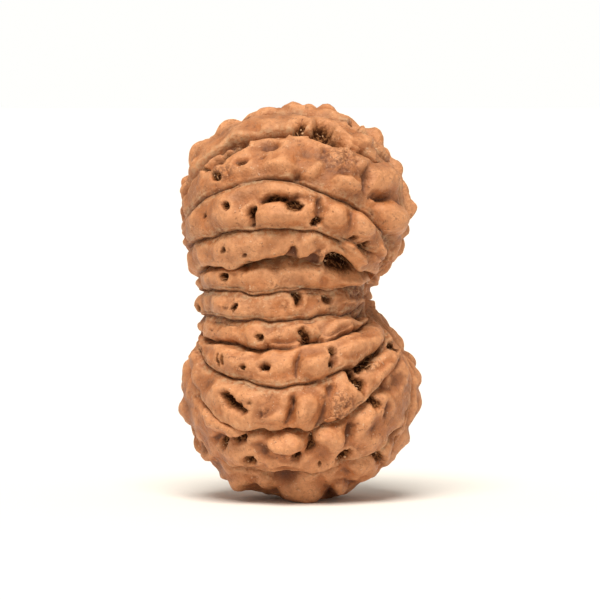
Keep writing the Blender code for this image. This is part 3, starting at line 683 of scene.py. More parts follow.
HOLES = [
    (1.3, 0.2, [(-9.6, 32.3), (-8.7, 33.4), (-8, 34.5), (-7, 35.3), (-5.9, 35.9), (-5.3, 35.6),
                (-5.9, 34.9), (-6.8, 34.2), (-7.7, 33.5), (-8.6, 32.4)]),
    (1.2, 0.2, [(-1, 36.4), (-0.7, 37.2), (0.1, 37.6), (0.6, 37.2), (0.6, 36.5), (-0.1, 36.2)]),
    (1.0, 0.15, [(-5.4, 28.6), (-5, 29.2), (-4.2, 29.4), (-4, 29.1), (-4.3, 28.4), (-4.7, 27.8),
                 (-4.8, 27.1), (-5.1, 27.2), (-5, 28)]),
    (0.8, 0.15, [(-4.5, 29.3), (-3.6, 29.9), (-2.9, 30.3), (-1.3, 30.4), (-1.2, 29.9), (-2.6, 29.7)]),
    (0.8, 0.15, [(1.2, 28.2), (1.7, 28.4), (2.2, 28), (2.1, 27.5), (1.6, 27.3), (1.2, 27.6)]),
    (1.4, 0.2, [(1, 35.9), (1.1, 36.9), (1.6, 37.5), (2.4, 37.4), (3, 36.8), (3.8, 36), (4.5, 35.2),
                (4.3, 34.9), (3.6, 35), (2.8, 35.4), (2, 35.8)]),
    (1.4, 0.2, [(4.3, 36.9), (4.7, 37.5), (5.3, 37.4), (5.9, 36.9), (5.6, 36.5), (4.9, 36.6)]),
    (1, 0.2, [(-1.2, 29.9), (-0.7, 30.1), (-0.1, 29.9), (0.4, 29.3), (0.1, 28.8), (-0.6, 28.9)]),
    (1.5, 0.25, [(2.1, 23.4), (2.4, 24.4), (2.9, 24.9), (3.5, 24.9), (4.4, 24.5), (5.2, 23.9), (5.9, 23.2),
                 (5.4, 22.4), (4.2, 22.2), (3, 22.5)]),
    (0.9, 0.25, [(-1, 20.5), (-0.3, 20.7), (0.3, 20.2), (0.1, 19.3), (-0.3, 19.2), (-0.6, 19.9)]),
    (1, 0.2, [(-0.4, 17.1), (0.2, 17.2), (0.9, 16.7), (1.2, 16.2), (0.9, 16), (0.2, 16.3), (-0.3, 16.7)]),
    (1, 0.2, [(-3.9, 13.2), (-3.6, 13.5), (-3, 13.5), (-2.8, 13.1), (-3.1, 12.7), (-3.7, 12.8)]),
    (1.2, 0.25, [(4.5, 12.8), (5.1, 13.3), (5.6, 13.1), (5.7, 12.2), (6.3, 11.7), (6.6, 11.1),
                 (5.9, 10.9), (5.4, 11.4), (5, 12.1)]),
    (0.7, 0.3, [(5.4, 13.3), (6.2, 14.2), (7, 14.7), (7.9, 15.2), (8.2, 14.8), (7.7, 14.2), (7.2, 13.5),
                (6.6, 13), (6.1, 12.3), (5.6, 12.7)]),
    (0.9, 0.2, [(8.5, 15.5), (9, 15.6), (9.5, 15), (9.4, 14.4), (9, 14.2), (8.6, 14.8)]),
    (1.2, 0.22, [(-7.5, 10.2), (-6.9, 10.4), (-6.2, 9.9), (-5.4, 9.3), (-5, 8.9), (-5.4, 8.6),
                 (-6.2, 8.9), (-7, 9.2), (-7.4, 9.7)]),
    (0.9, 0.2, [(-8, 5.9), (-7.6, 6.2), (-7.2, 5.7), (-7.1, 5.1), (-7.4, 4.9), (-7.8, 5.3)]),
    (0.8, 0.18, [(-7.3, 6.3), (-6.6, 6.1), (-5.8, 6.2), (-5.2, 6.5), (-5.2, 6), (-6, 5.7), (-6.8, 5.8)]),
    (0.9, 0.25, [(-5.5, 4.5), (-5, 4.9), (-4.3, 4.8), (-4, 4.2), (-4.3, 3.6), (-5, 3.8)]),
    (0.9, 0.2, [(-0.9, 4.5), (-0.4, 4.9), (0.1, 5), (0.2, 4.4), (-0.2, 4), (-0.7, 4.1)]),
    (0.6, 0.25, [(0.6, 5.5), (0.8, 6.3), (1.3, 6.6), (1.6, 6.1), (1.7, 5.2), (1.2, 4.8), (0.5, 4.9)]),
    (1, 0.22, [(3.4, 4.3), (3.8, 4.9), (4.7, 5), (5.2, 4.6), (4.9, 4), (4.3, 3.6), (3.7, 3.8)]),
    (1, 0.22, [(6.7, 4.6), (7.2, 4.9), (7.8, 5), (8, 4.3), (8, 3.6), (7.5, 3.9)]),
    (0.7, 0.3, [(6.8, 35), (7.4, 35.1), (8.2, 34.4), (8.8, 33.7), (8.4, 33.5), (7.6, 34.1)]),
    (0.8, 0.2, [(6.9, 9.8), (7.4, 10.2), (7.9, 9.9), (8, 9.1), (7.6, 9), (7.2, 9.3)]),
    (0.7, 0.25, [(5.6, 25.6), (6.1, 26), (6.7, 25.9), (6.7, 25.2), (6.1, 24.8), (5.7, 25)]),
]
DISHES = [
    (1.1, 0.25, [(-5.5, 24), (-3, 24.4), (-1.6, 24.6), (-1, 25.3), (-0.5, 25.3), (0, 24.5), (1.4, 24.7),
                 (2.3, 24.5), (2.3, 23.5), (0, 23.5), (-3, 23.4), (-5.5, 23.6)]),
    (0.55, 0.4, [(1.5, 30), (2.2, 30.2), (2.4, 29.6), (1.9, 28.8), (1.7, 28.2), (1.2, 28.3), (1.3, 29.2)]),
    (1.2, 0.3, [(-9.4, 32.8), (-8.4, 34.1), (-7.2, 35.1), (-5.8, 35.9), (-5, 36), (-5.1, 35.2),
                (-6.2, 34.4), (-7.4, 33.4), (-8.6, 32.4)]),
    (0.55, 0.35, [(1.9, 10.5), (2.2, 9.7), (2.1, 8.9), (1.5, 8), (1, 7.2), (1.4, 7.1), (2.1, 7.9),
                  (2.6, 8.9), (2.7, 9.9), (2.4, 10.6)]),
    (1.1, 0.25, [(-3.2, 2.3), (-2.4, 2.7), (-1.2, 2.7), (0, 2.6), (0.4, 2.2), (-0.4, 1.6), (-1.6, 1.4),
                 (-2.8, 1.7)]),
    (0.9, 0.25, [(-2.6, 6.9), (-1.6, 7.2), (-0.4, 7.2), (0.2, 6.8), (-1.2, 6.5)]),
    (0.7, 0.3, [(8, 8), (8.1, 9.6), (8.5, 10.2), (8.9, 9.4), (8.6, 8.2)]),
    (0.7, 0.3, [(-4, 3), (-2.9, 3.1), (-2.6, 2.6), (-3.6, 2.4), (-5, 2.7)]),
    (0.6, 0.3, [(-8.9, 6.2), (-8.1, 6.8), (-7.6, 6.3), (-8.3, 5.5)]),
    (0.7, 0.3, [(4.4, 5.2), (5, 6.2), (5.5, 7.4), (5, 7.6), (4.4, 6.6)]),
    (0.55, 0.6, [(-4.8, 36.2), (-4.4, 37.2), (-3.2, 37.5), (-1.8, 37.4), (-1, 36.8), (-1.2, 36.1)]),
    (0.4, 0.35, [(-4.4, 34.9), (-4.1, 35.6), (-3.2, 35.9), (-2.3, 35.6), (-2, 35), (-2.7, 34.5)]),
    (0.45, 0.3, [(-6.4, 33.3), (-6, 33.8), (-5.2, 34.1), (-4.8, 33.8), (-5.1, 33.2), (-5.9, 32.9)]),
    (0.6, 0.4, [(-1, 32.1), (-0.4, 32.9), (0.2, 32.7), (0.4, 32), (-0.4, 31.7)]),
    (0.6, 0.6, [(6.2, 30.3), (5.8, 31.3), (6, 32.5), (6.6, 32.1), (6.7, 31.1), (6.8, 30.2)]),
    (0.7, 0.35, [(-3.8, 29.6), (-3, 30.2), (-1.6, 30.5), (-0.3, 30.4), (0.3, 30), (-1.4, 29.6)]),
    (0.5, 0.45, [(3.7, 20.6), (4.6, 21.1), (5.8, 21.3), (6.9, 21.4), (6.9, 20.9), (4.4, 20.5)]),
    (0.6, 0.35, [(5, 18.5), (5.5, 19), (6.5, 19.1), (6.8, 18.5), (6.3, 17.9), (5.4, 18)]),
    (0.45, 0.4, [(2.2, 20.3), (3, 20.4), (3.6, 20), (3.3, 19.5), (2.6, 19.5), (2.1, 19.8)]),
    (0.5, 0.3, [(2.5, 13.7), (3, 14.3), (3.6, 13.9), (3.5, 13.2), (2.9, 13.1)]),
    (0.6, 0.5, [(2.3, 10.3), (2.4, 11.4), (3.1, 11.7), (3.6, 11.1), (3.5, 10.1), (2.9, 9.6)]),
    (0.4, 0.3, [(0.3, 8.7), (0.3, 9.7), (0.8, 10.2), (1.3, 9.8), (1.4, 9.1), (0.9, 8.4)]),
    (0.55, 0.5, [(8.1, 7.5), (8, 8.9), (8.2, 10), (8.8, 10.1), (9, 9.1), (8.7, 7.9)]),
    (0.6, 0.5, [(8.9, 11.3), (9, 12.5), (9.7, 12.9), (10.3, 12.3), (10.2, 11.3), (9.6, 10.8)]),
    (0.45, 0.5, [(-9.5, 3.7), (-8.8, 4.4), (-7.8, 3.9), (-7, 3.1), (-7.6, 2.7), (-8.6, 3.1)]),
    (0.6, 0.4, [(-2.4, 6.6), (-1.6, 7), (-0.6, 7.1), (-0.2, 6.7), (-1.2, 6.5)]),
    (0.6, 0.4, [(2.4, 0.7), (2.7, 1.5), (3.3, 2), (3.6, 1.3), (3.1, 0.5)]),
    (0.5, 0.4, [(-3.8, 5.3), (-3.2, 5.7), (-2.8, 4.9), (-2, 4.5), (-2.8, 4.2), (-3.5, 4.5)]),
]
RING_SCARS = [
    (-3.0, 21.6, 0.32),
    (-1.4, 22.1, 0.28),
    (-1.7, 19.5, 0.42),
    (-7.3, 19.9, 0.28),
    (-5.6, 16.6, 0.38),
    (6.2, 25.6, 0.62),
    (-9.5, 28.3, 0.40),
    (8.6, 31.8, 0.30),
    (7.6, 27.6, 0.28),
]
GRAINY = [
    (6.4, 13.4, 1.7, 1.0),
    (3.3, 8.9, 1.3, 1.0),
    (-3.5, 8.7, 0.6, 0.8),
    (-7.2, 19.2, 0.8, 0.4),
    (3.4, 33.7, 2.6, 1.7),
    (-1.7, 19.5, 0.4, 0.4),
    (4.2, 9.6, 1.6, 1.6),
    (5.6, 20.6, 1.6, 0.8),
    (-7.4, 32.6, 1.6, 0.9),
    (-6.2, 13.9, 0.9, 0.3),
    (2.6, 24.6, 1.0, 0.7),
]

# %% [markdown]
# Each form is placed by the point of the skin that the eye sees there. Its outline is an
# ellipse as seen, bent by the noise above, and it also ends at a like distance in depth, so
# a lump on the limb of the bead stays a lump and isn't smeared round the side. Lumps are
# blended by adding their cubes, so where two meet a soft dip is left between them.

# %% Place them
seen_across = across + bend_across
seen_up = upward + bend_up


def reach_of(form, bent=1.0):
    """Return how far each point is from a form's middle: 1 at its foot."""
    form_across, form_up, half_width, half_height, form_turn = form[:5]
    gap = (across - form_across) ** 2 + (upward - form_up) ** 2
    centre = np.argmin(np.where(facing > 0.05, gap, 1e6))
    slope = math.radians(form_turn)
    aside = across + bent * (bend_across - bend_across[centre]) - form_across
    over = upward + bent * (bend_up - bend_up[centre]) - form_up
    lengthways = aside * math.cos(slope) + over * math.sin(slope)
    crossways = over * math.cos(slope) - aside * math.sin(slope)
    deep = (near - near[centre]) / (1.6 * max(half_width, half_height))
    return np.sqrt((lengthways / half_width) ** 2 + (crossways / half_height) ** 2 + deep ** 2)


def furrow_depth(furrow):
    """Return the depth of one furrow at each point."""
    start_across, start_up, end_across, end_up, half_width, depth = furrow
    way = np.array([end_across - start_across, end_up - start_up])
    place = ((seen_across - start_across) * way[0] + (seen_up - start_up) * way[1]) / (way @ way)
    place = np.clip(place, 0, 1)
    gap = np.hypot(seen_across - start_across - place * way[0], seen_up - start_up - place * way[1])
    ends = np.clip(4 * np.minimum(place, 1 - place) + 0.3, 0, 1)
    return np.where(facing > 0, depth * ends * np.clip(1 - gap / half_width, 0, 1) ** 1.3, 0)


LUMP_SCALE = 0.6
HOLLOW_SCALE = 0.6
lump_cubes = np.zeros(len(base))
for form in LUMPS:
    lump_cubes += (form[5] * (1 - soft_step(reach_of(form), 0.05, 1.15))) ** 3
lump_rise = LUMP_SCALE * np.cbrt(lump_cubes)
hollow_depth = np.zeros(len(base))
for form in HOLLOWS:
    depth = HOLLOW_SCALE * form[5] * np.exp(-1.4 * reach_of(form) ** 2)
    hollow_depth = np.maximum(hollow_depth, depth)
print("forms on the front:", len(LUMPS), "lumps,", len(HOLLOWS), "hollows")

# %% [markdown]
# Other forms are too crooked for an ellipse. A plate is a lump with a drawn outline and a
# crisp edge, a dish is a shaded hollow and a hole is a torn opening. Each row gives its rise or
# depth, the width of its edge and the corners of its outline as seen. How far a point is inside
# the outline then gives the relief: a plate rises in a quarter circle from its edge, and a
# narrow moat runs round it.

# %% Plates, dishes and holes
OUTLINE_BEND = 0.45
FAR_OUTSIDE = -9.0
PLATE_SCALE = 1.5
MOAT = 0.45
MOAT_WIDTH = 0.2
GROUND_DROP = 0.4


def inside_outline(outline):
    """Return how far inside a drawn outline each point is, in mm, below 0 outside."""
    corners = np.array(outline, float)
    middle = corners.mean(0)
    size = np.linalg.norm(corners - middle, axis=1).max()
    gap = np.hypot(across - middle[0], upward - middle[1])
    centre = np.argmin(np.where(facing > 0.05, gap, 1e6))
    close = np.flatnonzero((gap < size + 1.5) & (facing > -0.3))
    seen = np.stack([across[close] + OUTLINE_BEND * (bend_across[close] - bend_across[centre]),
                     upward[close] + OUTLINE_BEND * (bend_up[close] - bend_up[centre])], -1)
    closest = np.full(len(close), 9.0)
    within = np.zeros(len(close), bool)
    for start, end in zip(corners, np.roll(corners, -1, 0)):
        way = end - start
        place = np.clip((seen - start) @ way / (way @ way), 0, 1)
        closest = np.minimum(closest, np.linalg.norm(seen - start - place[:, None] * way, axis=1))
        between = (start[1] > seen[:, 1]) != (end[1] > seen[:, 1])
        meets = start[0] + (seen[:, 1] - start[1]) / (way[1] + 1e-9) * way[0]
        within ^= between & (seen[:, 0] < meets)
    deep = 1.3 * size / max(facing[centre], 0.3) - np.abs(near[close] - near[centre])
    distance = np.full(len(base), FAR_OUTSIDE)
    distance[close] = np.minimum(np.where(within, closest, -closest), deep)
    return distance


plate_rise = np.zeros(len(base))
plate_cover = np.zeros(len(base))
moat = np.zeros(len(base))
for height, edge, outline in PLATES:
    distance = inside_outline(outline)
    shoulder = np.sqrt(1 - (1 - np.clip(distance / edge, 0, 1)) ** 2)
    cushion = soft_step(distance, 0, 0.9 * distance.max())
    plate_rise = np.maximum(plate_rise, PLATE_SCALE * height * (0.5 * shoulder + 0.5 * cushion))
    plate_cover = np.maximum(plate_cover, soft_step(distance, 0.05, 0.3))
    moat = np.maximum(moat, MOAT * height * np.exp(-((distance + 0.1) / MOAT_WIDTH) ** 2))
moat *= 1 - soft_step(plate_rise, 0.1, 0.3)
plate_rise *= 0.35 + 0.65 * soft_step(facing, 0.0, 0.45)
rise += 0.85 * plate_cover * (cleft_drop + second_seam) - GROUND_DROP * open_side
fold *= 1 - plate_cover
dish_depth = np.zeros(len(base))
for depth, edge, outline in DISHES:
    dish_depth = np.maximum(dish_depth, depth * soft_step(inside_outline(outline), -0.3 * edge, 1.3 * edge))
print("plates:", len(PLATES), "dishes:", len(DISHES), "holes:", len(HOLES))

# %% [markdown]
# Pits get a ragged outline from a finer noise, and a low torn rim. The bottom of a pit is
# rough, from fibres and grains of the husk that stayed in it.

# %% Pits, furrows and small scars
PIT_RIM = 0.10
SIDE_PITS = 34
ragged = 0.25 * smooth_noise(base, 0.55, 2)
pit_floor = 0.22 * smooth_noise(base, 0.34, 8)
pit_depth = np.zeros(len(base))
pit_mask = np.zeros(len(base))
pit_lip = np.zeros(len(base))
for form in PITS:
    reach = reach_of(form, 0.4) + ragged
    inside = 1 - soft_step(reach, 0.65, 1.1)
    pit_depth = np.maximum(pit_depth, (form[5] + pit_floor) * inside)
    pit_mask = np.maximum(pit_mask, inside * min(1.0, form[5] / 0.7))
    pit_lip = np.maximum(pit_lip, PIT_RIM * form[5] * np.exp(-((reach - 1.4) / 0.3) ** 2))
for depth, edge, outline in HOLES:
    distance = inside_outline(outline) - 0.5 * ragged
    inside = soft_step(distance, -0.3 * edge, 1.2 * edge)
    pit_depth = np.maximum(pit_depth, (depth + pit_floor) * inside)
    pit_mask = np.maximum(pit_mask, inside * min(1.0, depth / 0.8))
    pit_lip = np.maximum(pit_lip, PIT_RIM * depth * np.exp(-((distance + 0.3) / 0.15) ** 2))
draw = np.random.default_rng(SEED)
hidden = np.flatnonzero((facing < 0.15) & (np.sin(along) > 0.45) & (base[:, 2] > 3) & (cleft_gap < 1.2))
for spot in draw.choice(hidden, SIDE_PITS, replace=False):
    gap = base - base[spot]
    aside = (gap @ up_rib[spot]) / draw.uniform(0.3, 0.6)
    reach = np.sqrt(aside ** 2 + ((gap ** 2).sum(1) - (gap @ up_rib[spot]) ** 2) / draw.uniform(0.5, 1.0) ** 2)
    inside = 1 - soft_step(reach + 1.4 * ragged, 0.6, 1.1)
    pit_depth = np.maximum(pit_depth, (1.0 + pit_floor) * inside)
    pit_mask = np.maximum(pit_mask, inside)
fold *= 1 - pit_mask
furrow_cut = np.zeros(len(base))
for furrow in FURROWS:
    furrow_cut = np.maximum(furrow_cut, furrow_depth(furrow))
ring_cut = np.zeros(len(base))
for ring_across, ring_up, radius in RING_SCARS:
    reach = reach_of((ring_across, ring_up, radius, radius, 0), 0.3)
    ring_cut = np.maximum(ring_cut, 0.09 * np.exp(-((reach - 1) / 0.3) ** 2))
grainy = np.zeros(len(base))
for grain_across, grain_up, half_width, half_height in GRAINY:
    reach = reach_of((grain_across, grain_up, half_width, half_height, 0))
    grainy = np.maximum(grainy, 1 - soft_step(reach, 0.4, 1.2))
rise += lump_rise + plate_rise - moat - hollow_depth - dish_depth
rise += pit_lip - pit_depth - furrow_cut - ring_cut
rise += 0.26 * grainy * smooth_noise(base, 0.36, 9)
print("pits:", len(PITS), "furrows:", len(FURROWS))

# %% [markdown]
# ## The stalk scars
#
# At each end of the ribs the fruit's stalk and tip were joined, and a natural pit is left in
# a shallow valley where all nineteen clefts meet.

# %% Scars at both ends
SCAR_RADIUS = 1.5
SCAR_DEPTH = 1.3
VALLEY_WIDTH = 2.2
VALLEY_LENGTH = 6.5
VALLEY_DEPTH = 0.7
gap_y = base[:, 1] - SCAR_Y
gap_z = base[:, 2] - SCAR_Z
valley = np.exp(-(gap_y / VALLEY_WIDTH) ** 2 - (gap_z / VALLEY_LENGTH) ** 2)
scar_pit = 1 - soft_step(np.hypot(gap_y, gap_z) + ragged, 0.3 * SCAR_RADIUS, SCAR_RADIUS)
at_an_end = np.abs(np.cos(along)) > 0.5
scar_drop = np.where(at_an_end, VALLEY_DEPTH * valley + SCAR_DEPTH * scar_pit, 0)
rise -= scar_drop
print("deepest point of the scars, mm:", scar_drop.max().round(2))

# %% [markdown]
# ## The grain of the surface
#
# Dried husk is never quite smooth. Three sizes of noise add it: slow waves of the ribs, small
# dents, and a fine wrinkle that only the close view shows.

# %% Waves, dents and wrinkles
rise += 0.16 * smooth_noise(base, 2.8, 3, 2)
rise += 0.085 * smooth_noise(base, 1.0, 4, 2)
rise += 0.032 * smooth_noise(base, 0.4, 5, 2)

points = base + outward * rise[:, None] - up_rib * fold[:, None]
points[:, :2] += np.array(MIDDLE_SHIFT)
points[:, 2] = np.maximum(points[:, 2], 0.0)
stone.data.vertices.foreach_set("co", (points * MM).ravel())
stone.data.update()

# %% [markdown]
# The sphere's poles now lie on the left and right. Laying them there may have turned the
# faces inside out, so the volume is measured and the faces are flipped if it is negative.
# Then the surface is shaded smooth.

# %% Turn the faces outward
shape = bmesh.new()
shape.from_mesh(stone.data)
if shape.calc_volume(signed=True) < 0:
    bmesh.ops.reverse_faces(shape, faces=shape.faces)
print("volume, mm3:", round(shape.calc_volume(signed=True) / MM ** 3))
shape.to_mesh(stone.data)
shape.free()
stone.data.shade_smooth()

# %% [markdown]
# ## Masks for the finish
#
# Dust gathers in hollows and the skin is rubbed bright on the crests. The colour also gets a
# painted highlight on the crests and painted shade in hollows and creases. How hollow a spot
# is can be measured: the surface is smoothed, and each point is compared with its smoothed
# place. Doing this over a short, a middle and a long distance gives a fine, a middle and a
# broad mask. They are kept as attributes of the mesh, which the material reads.

# %% Measure hollows and crests
edges = np.empty(len(stone.data.edges) * 2, int)
stone.data.edges.foreach_get("vertices", edges)
edges = edges.reshape(-1, 2)
ends_a = np.concatenate([edges[:, 0], edges[:, 1]])
ends_b = np.concatenate([edges[:, 1], edges[:, 0]])
neighbours = np.bincount(ends_a, minlength=len(points))
normals = np.empty(len(points) * 3)
stone.data.vertices.foreach_get("normal", normals)
normals = normals.reshape(-1, 3)


def smoothed(values, rounds):
    """Return values averaged with their neighbours a number of times."""
    for _ in range(rounds):
        sums = [np.bincount(ends_a, values[ends_b, axis], len(values)) for axis in range(values.shape[1])]
        values = 0.3 * values + 0.7 * np.stack(sums, -1) / neighbours[:, None]
    return values


fine_level = smoothed(points, 6)
middle_level = smoothed(fine_level, 18)
broad_level = smoothed(middle_level, 60)
fine_bulge = ((points - fine_level) * normals).sum(-1)
middle_bulge = ((points - middle_level) * normals).sum(-1)
broad_bulge = ((points - broad_level) * normals).sum(-1)
MASKS = {
    "pit": np.clip(pit_mask + scar_pit * at_an_end, 0, 1),
    # A thin line in each cleft, which the material darkens as painted shade.
    "cleft": np.exp(-(cleft_gap / 0.22) ** 2) * fade * (1 - 0.85 * plate_cover),
    "shadow": soft_step(dish_depth, 0.15, 1.0),
    "dust": np.exp(-((cleft_gap - 0.3) / 0.4) ** 2) * fade * (1 - plate_cover) * open_side,
    "grainy": grainy,
    "fine_bulge": np.clip(0.5 + fine_bulge / 0.25, 0, 1),
    "middle_bulge": np.clip(0.5 + middle_bulge / 0.6, 0, 1),
    "broad_bulge": np.clip(0.5 + broad_bulge / 1.2, 0, 1),
}
for name, values in MASKS.items():
    layer = stone.data.attributes.new(name, "FLOAT", "POINT")
    layer.data.foreach_set("value", values)
    print(name, np.percentile(values, (5, 25, 50, 75, 95)).round(2))

# %% [markdown]
# ## The skin of the bead
#
# The colour starts as a warm brown that drifts in soft patches, darker and more saturated
# towards the bottom. Crests go more orange, partly from rubbed wear and partly as a painted
# highlight. Broad hollows go paler and greyer with dust, while smaller hollows, creases and
# clefts get painted shade and the deep dishes a painted shadow. The pits are darkest of all,
# with a fibrous pattern. Everything is built from noise on Object coordinates and the
# measured masks.

# %% Helpers for node trees


def new_material(name):
    """Return a material with an empty tree but for a Principled shader and the output."""
    material = bpy.data.materials.new(name)
    material.use_nodes = True
    return material, material.node_tree, material.node_tree.nodes["Principled BSDF"]


def add_node(tree, kind, **settings):
    """Add a node, set its properties and number inputs by name, and return it."""
    made = tree.nodes.new(kind)
    for name, value in settings.items():
        if hasattr(made, name):
            setattr(made, name, value)
        else:
            made.inputs[name.replace("_", " ")].default_value = value
    return made


def link(tree, source, target):
    """Join an output socket to an input socket."""
    tree.links.new(source, target)


def mask(tree, name):
    """Return the output of a mask that was measured on the mesh."""
    return add_node(tree, "ShaderNodeAttribute", attribute_name=name).outputs["Fac"]


def ramp(tree, value, low, high, out_low=0.0, out_high=1.0):
    """Return a value mapped from low..high to out_low..out_high, with soft ends."""
    made = add_node(tree, "ShaderNodeMapRange", interpolation_type="SMOOTHSTEP")
    for name, number in (("From Min", low), ("From Max", high), ("To Min", out_low), ("To Max", out_high)):
        made.inputs[name].default_value = number
    link(tree, value, made.inputs["Value"])
    return made.outputs["Result"]


def mix(tree, factor, first, second, blend="MIX"):
    """Return two colours mixed by a factor, each a socket or a plain colour."""
    made = add_node(tree, "ShaderNodeMix", data_type="RGBA", blend_type=blend)
    for socket, value in ((made.inputs[0], factor), (made.inputs[6], first), (made.inputs[7], second)):
        if isinstance(value, bpy.types.NodeSocket):
            link(tree, value, socket)
        elif isinstance(value, (int, float)):
            socket.default_value = value
        else:
            socket.default_value = (*value, 1.0)
    return made.outputs[2]


def multiply(tree, first, second):
    """Return the product of two values."""
    made = add_node(tree, "ShaderNodeMath", operation="MULTIPLY")
    for socket, value in zip(made.inputs, (first, second)):
        if isinstance(value, bpy.types.NodeSocket):
            link(tree, value, socket)
        else:
            socket.default_value = value
    return made.outputs[0]


def noise_value(tree, coordinates, scale, detail=4.0, roughness=0.6):
    """Return noise on the given coordinates, at a scale per metre."""
    made = add_node(tree, "ShaderNodeTexNoise", Scale=scale, Detail=detail, Roughness=roughness)
    link(tree, coordinates, made.inputs["Vector"])
    return made.outputs["Fac"]


# %% Colours, as linear values
TAN = (0.40, 0.154, 0.057)
WARM = (0.48, 0.169, 0.052)
PALE = (0.50, 0.232, 0.106)
CREST_WEAR_AND_HIGHLIGHT = (0.75, 0.35, 0.158)
DUSTY = (0.39, 0.208, 0.102)
DRAB = (0.36, 0.165, 0.078)
BOTTOM_BROWN = (0.41, 0.135, 0.040)
DUST = (0.52, 0.35, 0.20)
SPECK = (0.80, 0.60, 0.42)
SHADED = (0.20, 0.066, 0.021)
DEEP = (0.13, 0.038, 0.012)
PIT_DARK = (0.055, 0.017, 0.006)
PIT_LIGHT = (0.36, 0.155, 0.06)
GRAIN_DARK = (0.70, 0.66, 0.62)
GRAIN_LIGHT = (1.0, 1.0, 1.0)

skin_material, tree, shader = new_material("dried_stone_skin")
place = add_node(tree, "ShaderNodeTexCoord").outputs["Object"]
patches = noise_value(tree, place, 220.0, 3.0)
streaks = noise_value(tree, place, 800.0, 5.0)
specks = noise_value(tree, place, 2600.0, 3.0)
colour = mix(tree, ramp(tree, patches, 0.38, 0.62), TAN, WARM)
colour = mix(tree, ramp(tree, streaks, 0.5, 0.72, 0.0, 0.55), colour, PALE)
hollow = multiply(tree, ramp(tree, mask(tree, "broad_bulge"), 0.55, 0.2), ramp(tree, streaks, 0.35, 0.6))
colour = mix(tree, multiply(tree, hollow, 0.5), colour, DUSTY)
drab = ramp(tree, noise_value(tree, place, 480.0, 4.0), 0.48, 0.64)
colour = mix(tree, multiply(tree, drab, 0.5), colour, DRAB)
# The lower half turns a darker, more saturated brown, set by height alone.
height = add_node(tree, "ShaderNodeSeparateXYZ")
link(tree, place, height.inputs["Vector"])
colour = mix(tree, ramp(tree, height.outputs["Z"], 0.020, 0.010, 0.0, 0.35), colour, BOTTOM_BROWN)
# Crests turn lighter and more orange: partly rubbed wear, partly a painted highlight.
crest_wear_and_highlight = multiply(tree, ramp(tree, mask(tree, "middle_bulge"), 0.5, 0.85), ramp(tree, streaks, 0.3, 0.6, 0.5, 1.0))
colour = mix(tree, multiply(tree, crest_wear_and_highlight, 0.75), colour, CREST_WEAR_AND_HIGHLIGHT)
# Painted shade in the smaller hollows, read from the middle mask.
colour = mix(tree, multiply(tree, ramp(tree, mask(tree, "middle_bulge"), 0.5, 0.15), 0.75), colour, SHADED)
speck = multiply(tree, ramp(tree, specks, 0.56, 0.68), ramp(tree, streaks, 0.4, 0.6))
colour = mix(tree, multiply(tree, speck, 0.55), colour, DEEP)
flecks = noise_value(tree, place, 4200.0, 2.0)
colour = mix(tree, multiply(tree, ramp(tree, flecks, 0.64, 0.74), 0.5), colour, PALE)
dust = multiply(tree, mask(tree, "dust"), ramp(tree, noise_value(tree, place, 1700.0, 4.0, 0.7), 0.42, 0.62))
colour = mix(tree, multiply(tree, dust, 0.6), colour, DUST)
# Painted shade in the tight creases, read from the fine mask.
crease_shade = ramp(tree, mask(tree, "fine_bulge"), 0.25, 0.0)
colour = mix(tree, multiply(tree, crease_shade, 0.45), colour, DEEP)
# Painted shade along each cleft, broken up by noise.
cleft_shade = multiply(tree, mask(tree, "cleft"), ramp(tree, noise_value(tree, place, 1100.0, 4.0, 0.7), 0.38, 0.6))
colour = mix(tree, multiply(tree, cleft_shade, 0.6), colour, DEEP)
colour = mix(tree, multiply(tree, mask(tree, "shadow"), 0.75), colour, DEEP)
grains = multiply(tree, mask(tree, "grainy"), ramp(tree, specks, 0.56, 0.44))
colour = mix(tree, multiply(tree, grains, 0.6), colour, DEEP)
shade = mix(tree, ramp(tree, noise_value(tree, place, 1700.0, 5.0, 0.75), 0.34, 0.6), GRAIN_DARK, GRAIN_LIGHT)
colour = mix(tree, 0.65, colour, shade, "MULTIPLY")
pale = multiply(tree, ramp(tree, noise_value(tree, place, 3600.0, 2.0), 0.63, 0.7), ramp(tree, streaks, 0.4, 0.6))
colour = mix(tree, multiply(tree, pale, 0.4), colour, SPECK)
threads = noise_value(tree, place, 3200.0, 2.0)
pit_colour = mix(tree, ramp(tree, threads, 0.46, 0.64), PIT_DARK, PIT_LIGHT)
colour = mix(tree, ramp(tree, mask(tree, "pit"), 0.1, 0.9), colour, pit_colour)
link(tree, colour, shader.inputs["Base Color"])
link(tree, ramp(tree, streaks, 0.3, 0.7, 0.40, 0.6), shader.inputs["Roughness"])
link(tree, ramp(tree, mask(tree, "pit"), 0.0, 0.7, 0.4, 0.03), shader.inputs["Specular IOR Level"])
dents = add_node(tree, "ShaderNodeBump", Strength=0.8, Distance=0.0003)
link(tree, noise_value(tree, place, 900.0, 5.0, 0.6), dents.inputs["Height"])
bumps = add_node(tree, "ShaderNodeBump", Strength=0.8, Distance=0.0002)
link(tree, noise_value(tree, place, 3200.0, 4.0, 0.65), bumps.inputs["Height"])
link(tree, dents.outputs["Normal"], bumps.inputs["Normal"])
husk = add_node(tree, "ShaderNodeBump", Strength=1.0, Distance=0.0005)
rough_floor = ramp(tree, mask(tree, "pit"), 0.1, 0.8)
rough_floor = multiply(tree, rough_floor, noise_value(tree, place, 2400.0, 4.0, 0.7))
link(tree, rough_floor, husk.inputs["Height"])
link(tree, bumps.outputs["Normal"], husk.inputs["Normal"])
link(tree, husk.outputs["Normal"], shader.inputs["Normal"])
stone.data.materials.append(skin_material)

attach(stone, BODY)
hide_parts(STONE_NODE)

